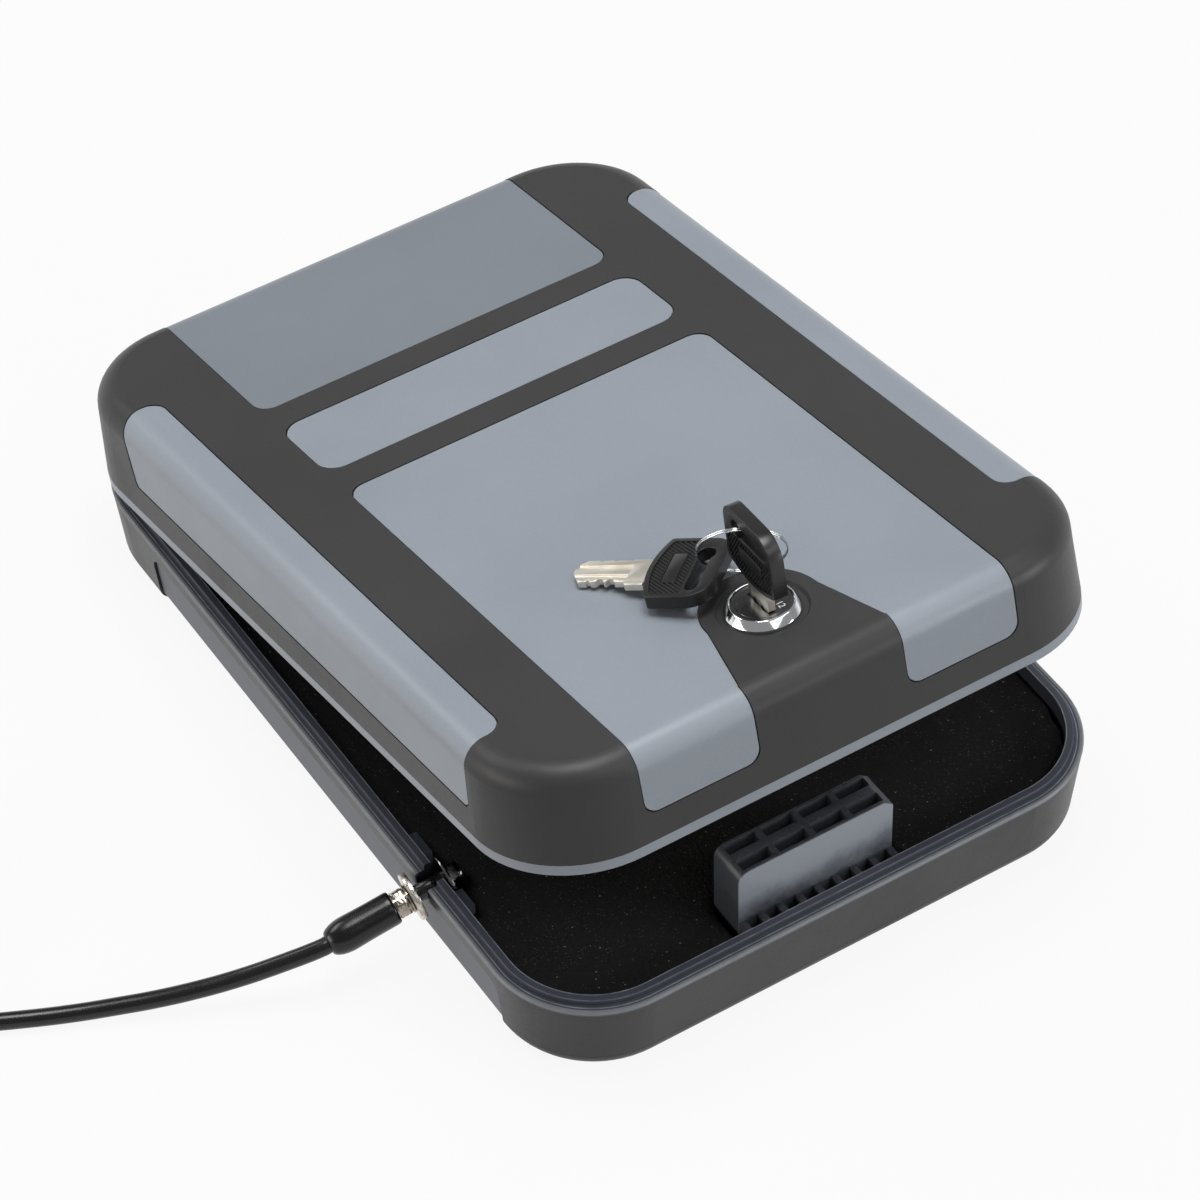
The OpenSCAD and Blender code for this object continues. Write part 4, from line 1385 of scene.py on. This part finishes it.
    def make_ring(self) -> Piece:
        """Winds the split ring: two turns of thin wire side by side.

        Returns:
            The ring round the origin.
        """
        knots, up = [], self.turn_lift
        for k in range(2 * self.ring_steps + 1):
            turn = k / self.ring_steps
            a = 2 * math.pi * turn + 0.6
            lift = -up if turn < 0.94 else up if turn > 1.06 else -up + 2 * up * (turn - 0.94) / 0.12
            knots.append((self.ring_r * MM * math.cos(a), self.ring_r * MM * math.sin(a), lift * MM))
        Bench.take(Bench.wire("split_ring_wound", knots, self.wire_r, 4, 3))
        bpy.ops.object.convert(target="MESH")
        return Bench.smooth(bpy.context.object, 60)

    def build(self) -> None:
        """Makes both keys and the ring and puts them in the lock and on the lid."""
        made = self.finishes
        head, blade = self.make_head(), self.make_blade()
        upright = (lid_place() @ move(0, CASE.lock_y, CASE.plug_face_z + self.head_lift + self.length / 2)
                   @ scad_turn(0, 90, -CASE.plug_turn))
        lying = (lid_place() @ move(*self.spare_at) @ scad_turn(0, 0, self.spare_turn)
                 @ scad_turn(180, self.spare_tilt, 0))
        for part, kind, finish, slot in ((head, "head", made.key_plastic, Slot.KEY_PLASTIC),
                                         (blade, "blade", made.nickel, Slot.NICKEL)):
            twin = Bench.copy(part, part.name.replace("key", "spare"))
            Bench.dress(Bench.place(part, upright), finish, Body.KEY, slot, f"key_{kind}")
            Bench.dress(Bench.place(twin, lying), finish, Body.SPARE, slot, f"spare_{kind}")
        ring = Bench.place(self.make_ring(), lid_place() @ move(*self.ring_at)
                           @ scad_turn(0, self.ring_tilt, self.ring_turn))
        Bench.dress(ring, made.chrome, Body.RING, Slot.CHROME, "key_ring")


@dataclass(frozen=True)
class CamLock:
    """The cam lock: bevelled flange and threaded barrel, plug, nut, cam and its screw."""

    finishes: Finishes
    flange_r: float = 10.1
    barrel_r: float = 8.2
    bore_r: float = 6.2
    head_r: float = 8.05
    barrel_z: float = 36.2
    flange_z: float = 57.4
    cam_z: float = 33.8
    nut_z: float = 47.5
    nut_r: float = 12.6
    digits: str = "12"
    digits_at: Point = (3.2, -4.0, 57.312)
    digits_size: float = 2.8
    digits_turn: float = -87.0
    cam_hub_r: float = 6.5
    cam_tip_r: float = 4.5
    cam_reach: float = 12.0

    def make_housing(self) -> Piece:
        """Turns the housing with its thread, flange and recess for the plug head.

        Returns:
            The housing on the lock's axis.
        """
        b, rim, seat, top = self.barrel_r, self.flange_r, CASE.seat_z, self.flange_z
        rows = [(b - 0.6, self.barrel_z), (b - 0.1, self.barrel_z + 0.5)]
        z = self.barrel_z + 0.9
        while z < seat - 2.4:
            rows += [(b, z), (b - 0.42, z + 0.5)]
            z += 1.0
        rows += [(b, seat - 1.4), (b, seat), (9.9, seat), (rim, seat + 0.15), (rim, seat + 0.85),
                 (rim - 0.1, seat + 1.02), (8.82, top - 0.26), (8.66, top - 0.08), (8.52, top), (8.34, top),
                 (8.24, top - 0.1), (8.24, top - 1.4), (self.bore_r, top - 1.4), (self.bore_r, self.barrel_z)]
        return Bench.smooth(Bench.turned("lock_housing_turned", rows, 96, ring=True), 24)

    def make_plug(self) -> Piece:
        """Turns the plug, cuts its keyway and adds the square drive.

        Returns:
            The plug on the lock's axis.
        """
        face, z = CASE.plug_face_z, self.barrel_z
        plug = Bench.turned("lock_plug_cut", [
            (5.8, z - 0.2), (6.1, z + 0.1), (6.1, face - 1.1), (7.9, face - 1.1), (self.head_r, face - 1.0),
            (self.head_r, face - 0.2), (7.85, face), (7.35, face), (7.25, face - 0.12), (7.0, face - 0.12),
            (6.9, face)], 96)
        keyway = Bench.brick("keyway", (-1.25, -4.55, face - 18.5), (1.25, 4.55, face + 5))
        lead_in = Bench.brick("lead_in", (-1.6, -4.9, face - 0.35), (1.6, 4.9, face + 5))
        screw_hole = Bench.rod("screw_hole", 1.7, self.cam_z - 1, self.cam_z + 3.5, 24)
        drive = Bench.brick("drive", (-3, -3, self.cam_z), (3, 3, z - 0.1))
        Bench.carve(plug, keyway, lead_in)
        Bench.carve(drive, screw_hole)
        Bench.soften(drive, 0.3, 2)
        return Bench.smooth(Bench.join("lock_plug_cut", [plug, drive]), 24)

    def make_digits(self) -> Piece:
        """Stamps plain numerals beside the keyway.

        Returns:
            The numerals on the plug's face.
        """
        Bench.clear()
        bpy.ops.object.text_add(location=(0, 0, 0))
        mark = bpy.context.object
        mark.data.body = self.digits
        mark.data.size = self.digits_size * MM
        mark.data.align_x, mark.data.align_y = "CENTER", "CENTER"
        mark.data.extrude = 0.012 * MM
        Bench.take(mark)
        bpy.ops.object.convert(target="MESH")
        mark = bpy.context.object
        mark.name = "lock_numerals"
        return Bench.place(mark, move(*self.digits_at) @ scad_turn(0, 0, self.digits_turn))

    def make_nut(self) -> Piece:
        """Makes the hexagon nut with its turned-off corners.

        Returns:
            The nut on the lock's axis.
        """
        z = self.nut_z
        nut = Bench.plate("lock_nut_faced", arc(0, 0, self.nut_r, range(0, 360, 60)), z, z + 4)
        blank = Bench.turned(
            "blank", [(11.2, z - 0.01), (12.7, z + 0.85), (12.7, z + 3.15), (11.2, z + 4.01)], 72)
        Bench.carve(nut, blank, how="INTERSECT")
        bore = Bench.turned("bore", [(9.4, z - 1), (8.3, z + 0.6), (8.3, z + 3.4), (9.4, z + 5)], 72)
        Bench.carve(nut, bore)
        return Bench.smooth(Bench.soften(nut, 0.12, 1), 24)

    def make_cam(self) -> Piece:
        """Makes the stamped cam with its square hole.

        Returns:
            The cam, tip towards +X.
        """
        hub, tip, reach = self.cam_hub_r, self.cam_tip_r, self.cam_reach
        lean = math.asin((hub - tip) / reach)
        rim = [(hub * math.cos(a), hub * math.sin(a))
               for a in (math.pi / 2 - lean + (math.pi + 2 * lean) * k / 28 for k in range(29))]
        rim += [(reach + tip * math.cos(a), tip * math.sin(a))
                for a in (-math.pi / 2 + lean + (math.pi - 2 * lean) * k / 16 for k in range(17))]
        cam = Bench.plate("lock_cam_stamped", rim, self.cam_z, self.cam_z + 2)
        Bench.carve(cam, Bench.brick("square", (-3.1, -3.1, self.cam_z - 1), (3.1, 3.1, self.cam_z + 3)))
        return Bench.smooth(Bench.soften(cam, 0.28, 2), 30)

    def make_screw(self) -> Piece:
        """Turns the cam screw and sinks its hexagon socket.

        Returns:
            The screw on the lock's axis.
        """
        z = self.cam_z
        screw = Bench.turned("cam_screw_turned", [
            (3.4, z - 1.9), (4.1, z - 1.6), (4.35, z - 1.1), (4.4, z - 0.3), (4.25, z - 0.1), (1.6, z - 0.1),
            (1.6, z + 2.8), (1.3, z + 3.0)], 48)
        socket = Bench.plate("socket", arc(0, 0, 1.75, range(0, 360, 60)), z - 3, z - 0.9)
        return Bench.smooth(Bench.carve(screw, socket), 30)

    def build(self) -> None:
        """Makes all the lock's pieces and puts them in the lid."""
        made = self.finishes
        fixed = lid_place() @ move(0, CASE.lock_y, 0)
        turning = fixed @ scad_turn(0, 0, -CASE.plug_turn)
        for piece, finish, body, slot, nodes in (
                (self.make_housing(), made.chrome, Body.LID, Slot.CHROME, ("lock_housing",)),
                (self.make_plug(), made.plug, Body.PLUG, Slot.CHROME, ("lock_plug",)),
                (self.make_digits(), made.stamped, Body.PLUG, Slot.CHROME, ()),
                (self.make_nut(), made.steel, Body.LID, Slot.STEEL, ("lock_nut",)),
                (self.make_cam(), made.steel, Body.PLUG, Slot.STEEL, ("lock_cam",)),
                (self.make_screw(), made.steel, Body.PLUG, Slot.STEEL, ("cam_screw",))):
            Bench.place(piece, fixed if body is Body.LID else turning)
            Bench.dress(piece, finish, body, slot, *nodes)


@dataclass(frozen=True)
class LatchKeeper:
    """The block that the cam turns under, with its cells, comb and screws."""

    finishes: Finishes
    left: float = -28.0
    width: float = 47.5
    front: float = -118.6
    depth: float = 11.6
    top: float = 43.7
    columns: int = 4
    rows: int = 2
    cell_w: float = 9.6
    cell_d: float = 3.4
    cell_depth: float = 5.6
    cell_edges: Flat = (1.3, 0.8)
    shoulder_r: float = 3.4
    shoulder_cut: Flat = (2.8, 2.2)
    slot_depth: float = 8.2
    slot_z: Flat = (31.7, 36.9)
    ribs: int = 9
    rib_w: float = 2.1
    rib_z: float = 20.5
    screw_in: float = 9.0

    def make_block(self) -> Piece:
        """Makes the block with rounded shoulders, cells and the cam's slot.

        Returns:
            The block.
        """
        r, x0, x1, top = self.shoulder_r, self.left, self.left + self.width, self.top
        rim = [(x0, CASE.floor_t), (x1, CASE.floor_t), (x1, top - self.shoulder_cut[1]),
               (x1 - self.shoulder_cut[0], top)] + arc(x0 + r, top - r, r, range(90, 181, 10))
        block = Bench.place(Bench.plate("keeper_block", rim, -self.front - self.depth, -self.front),
                            scad_turn(90, 0, 0))
        front_wall, back_wall = self.cell_edges
        pitch_x = (self.width - 2 * front_wall) / self.columns
        pitch_y = (self.depth - front_wall - back_wall - self.cell_d) / (self.rows - 1)
        cells = []
        for c in range(self.columns):
            for k in range(self.rows):
                x = x0 + front_wall + (c + 0.5) * pitch_x
                y = self.front + front_wall + self.cell_d / 2 + k * pitch_y
                cells.append(Bench.soften(Bench.brick(
                    "cell", (x - self.cell_w / 2, y - self.cell_d / 2, top - self.cell_depth),
                    (x + self.cell_w / 2, y + self.cell_d / 2, top + 3)), 0.3, 2))
        slot = Bench.brick("slot", (-11, self.front + self.depth - self.slot_depth, self.slot_z[0]),
                           (60, -60, self.slot_z[1]))
        Bench.carve(block, Bench.join("cells", cells), slot)
        return Bench.soften(block, 0.4, 2, 40)

    def make_ribs(self) -> list[Piece]:
        """Makes the comb between the block and the front wall.

        Returns:
            The ribs.
        """
        ribs = []
        for k in range(self.ribs):
            x = self.left + k * (self.width - self.rib_w) / (self.ribs - 1)
            rib = Bench.brick("rib", (x, -CASE.length / 2 + CASE.rim_in + 0.1, self.rib_z),
                              (x + self.rib_w, self.front + 0.3, CASE.ledge_z))
            ribs.append(Bench.soften(rib, 0.3, 2))
        return ribs

    def make_screws(self) -> Piece:
        """Turns the two pan-head screws and cuts their cross recesses.

        Returns:
            Both screws as one piece.
        """
        screws = []
        for x in (self.left + self.screw_in, self.left + self.width - self.screw_in):
            screw = Bench.turned("screw", [
                (2.6, 0.2), (3.2, 0.38), (3.4, 0.7), (3.4, 1.05), (1.55, 1.1), (1.55, 11.0), (1.2, 11.8)], 40)
            Bench.carve(screw, Bench.brick("cross", (-1.9, -0.4, -1), (1.9, 0.4, 0.8)),
                        Bench.brick("cross", (-0.4, -1.9, -1), (0.4, 1.9, 0.8)))
            screws.append(Bench.place(screw, move(x, self.front + self.depth / 2, 0)))
        return Bench.smooth(Bench.join("keeper_screws_turned", screws), 30)

    def build(self) -> None:
        """Makes the keeper and its screws."""
        keeper = Bench.smooth(Bench.join("latch_keeper_moulded", [self.make_block()] + self.make_ribs()), 35)
        Bench.dress(keeper, self.finishes.keeper, Body.BASE, Slot.KEEPER, "latch_keeper")
        Bench.dress(self.make_screws(), self.finishes.steel, Body.BASE, Slot.STEEL, "keeper_screws")


@dataclass(frozen=True)
class FoamLinings:
    """Cut foam sheets in the base and under the lid."""

    finishes: Finishes
    voxel: float = 2.2
    ripple: float = 0.35
    broad: float = 0.035
    fine: float = 0.3
    sink: float = 0.45
    base_rooms: tuple[tuple[str, tuple[Point, Point]], ...] = (
        ("keeper_room", ((-29, -200, -5), (20.5, -106, 60))),
        ("beam_room", ((-200, 113.5, -5), (200, 200, 60))),
        ("clip_room", ((-200, -76.4, -5), (-80.6, -46.1, 60))),
        ("washer_room", ((-200, -69.6, -5), (-79.0, -56.0, 60))),
        ("stop_room", ((-200, -66.6, -5), (-76.8, -59.6, 60))))
    lid_room: tuple[Point, Point] = ((-30, -200, -5), (21.5, -105, 100))
    lock_room_r: float = 14.1
    lid_inset: float = 5.5
    lid_z: Flat = (45.7, 51.5)

    def make_sheet(self, name: str, inset: float, z0: float, z1: float,
                   cuts: Sequence[Piece]) -> Piece:
        """Cuts one sheet and gives it the soft, uneven surface of foam.

        Args:
            name: Name of the sheet.
            inset: Distance from the case's outline.
            z0: Underside.
            z1: Upper side.
            cuts: Solids of the cut-outs.

        Returns:
            The sheet.
        """
        piece = Bench.carve(Bench.plate(name, outline_points(inset), z0, z1), *cuts)
        Bench.modify(piece, "REMESH", mode="VOXEL", voxel_size=self.voxel * MM)
        for vert in piece.data.vertices:
            at = vert.co / MM
            swell = noise.noise(at * self.broad) * 0.6 + noise.noise(at * self.fine) * 0.4
            vert.co += vert.normal * (swell - self.sink) * self.ripple * MM
        Bench.take(piece)
        bpy.ops.object.shade_smooth()
        return piece

    def build(self) -> None:
        """Makes both linings."""
        low, high = CASE.floor_t + 0.2, CASE.foam_top + 0.15
        rooms = [Bench.brick(name, *corners) for name, corners in self.base_rooms]
        base = self.make_sheet("base_foam_cut", CASE.rim_in + 0.45, low, high, rooms)
        lock_room = Bench.rod("lock_room", self.lock_room_r, 0.0, 100.0, 48)
        Bench.place(lock_room, move(0, CASE.lock_y, 0))
        keeper_room = Bench.brick("keeper_room", *self.lid_room)
        lid = self.make_sheet("lid_foam_cut", self.lid_inset, *self.lid_z, [lock_room, keeper_room])
        Bench.place(lid, lid_place())
        for piece, body, node in ((base, Body.BASE, "base_foam"), (lid, Body.LID, "lid_foam")):
            Bench.dress(piece, self.finishes.foam, body, Slot.FOAM, node)


@dataclass(frozen=True)
class Lamp:
    """One rectangular soft lamp: its place and size in metres, its power in watts."""

    name: str
    at: Point
    size: Flat
    power: float
    tint: Point = (1.0, 1.0, 1.0)
    aim: Point = (0.0, 0.0, 0.03)

    def hang(self) -> None:
        """Puts the lamp in its place, facing the object."""
        data = bpy.data.lights.new(self.name, "AREA")
        data.color = self.tint
        data.shape, data.size, data.size_y, data.energy = "RECTANGLE", *self.size, self.power
        made = bpy.data.objects.new(self.name, data)
        bpy.context.scene.collection.objects.link(made)
        made.location = self.at
        made.rotation_euler = (Vector(self.aim) - Vector(self.at)).to_track_quat("-Z", "Y").to_euler()


@dataclass(frozen=True)
class Studio:
    """Floor, lamps and the camera of the photograph."""

    azimuth: float = -31.251
    elevation: float = 46.581
    roll: float = -1.56
    distance: float = 1343.4
    target: Point = (5.125, 0.0, 21.605)
    lens: float = 147.74
    sensor: float = 36.0
    ambient: float = 0.22
    zenith: float = 0.3
    zenith_from: Flat = (0.06, 0.24)
    floor_glow: float = 0.91
    floor_drop: float = 0.15
    floor_tone: Flat = (0.54, 0.56)
    lamps: tuple[Lamp, ...] = (
        Lamp("top_soft", (0.05, 0.12, 1.2), (0.6, 0.6), 11.6),
        Lamp("front_soft", (0.45, -0.7, 1.1), (1.4, 0.5), 4.5),
        Lamp("back_soft", (-0.75, 1.3, 1.25), (1.0, 0.6), 9.0),
        Lamp("left_soft", (-1.9, 0.4, 0.5), (1.4, 0.7), 15.5, (1.0, 0.94, 0.87)),
        Lamp("right_soft", (1.15, -1.42, 0.55), (0.9, 0.6), 13.0))

    def camera(self) -> None:
        """Places the camera that the photograph was fitted to."""
        a, e, t = (math.radians(v) for v in (self.azimuth, self.elevation, self.roll))
        back = Vector((math.sin(a) * math.cos(e), -math.cos(a) * math.cos(e), math.sin(e)))
        right = Vector((math.cos(a), math.sin(a), 0.0))
        up = back.cross(right)
        right, up = right * math.cos(t) + up * math.sin(t), up * math.cos(t) - right * math.sin(t)
        data = bpy.data.cameras.new("camera")
        data.lens, data.sensor_width = self.lens, self.sensor
        data.clip_start, data.clip_end = 0.05, 30.0
        made = bpy.data.objects.new("camera", data)
        bpy.context.scene.collection.objects.link(made)
        turn = Matrix((right, up, back)).transposed().to_4x4()
        made.matrix_world = Matrix.Translation(Vector(self.target) * MM + back * self.distance * MM) @ turn
        bpy.context.scene.camera = made
        bpy.context.scene.view_settings.view_transform = "Standard"

    def world(self) -> None:
        """White round the horizon for the camera and for reflections, softer for the light it gives."""
        r = Recipe("studio_world", of_world=True)
        bpy.context.scene.world = r.made
        strength = r.wire("ShaderNodeMapRange", 0, None, {
            "Value": r.seen(), "To Min": self.ambient, "To Max": 1.0})
        rise = r.parts(r.wire("ShaderNodeTexCoord", "Generated"))[2]
        colour = r.ramp(rise, *self.zenith_from, 1.0, self.zenith)
        r.close(r.node("ShaderNodeBackground", None, {"Color": colour, "Strength": strength}))

    def floor(self) -> None:
        """Pale floor that stays white to the camera but keeps the object's shadow."""
        Bench.clear()
        bpy.ops.mesh.primitive_plane_add(size=8.0, location=(0, 0, -self.floor_drop * MM))
        made = bpy.context.object
        made.name = "floor"
        r = Recipe("floor_white")
        grain = r.cloud(r.here(), 40.0, 3.0)
        matte = r.wire("ShaderNodeBsdfDiffuse", 0, None, {
            0: r.blend(grain, *((level, level, level) for level in self.floor_tone))})
        glow = r.wire("ShaderNodeEmission", 0, None, {0: (1.0, 1.0, 1.0, 1.0), 1: 1.0})
        mix = r.node("ShaderNodeMixShader", None, {0: r.seen() * self.floor_glow, 1: matte, 2: glow})
        made.data.materials.append(r.close(mix))

    def light(self) -> None:
        """Hangs the soft lamps round the object."""
        for lamp in self.lamps:
            lamp.hang()


def main() -> None:
    """Builds the studio, the cable and every piece, in order."""
    logging.basicConfig(level=logging.INFO, format="%(name)s: %(message)s")
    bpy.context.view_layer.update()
    studio = Studio()
    studio.camera()
    finishes = Finishes()
    TetherCable(finishes).build()
    studio.world()
    studio.floor()
    studio.light()
    kept = {"base_shell": finishes.tray, "base_overmould": finishes.overmould, "hinge_pin": finishes.steel,
            "lid_shell": finishes.shell, "lid_overmould": finishes.overmould}
    for name, finish in kept.items():
        Bench.paint(frame["nodes"][name], finish)
    KeySet(finishes).build()
    CamLock(finishes).build()
    LatchKeeper(finishes).build()
    FoamLinings(finishes).build()


if __name__ == "__main__":
    main()
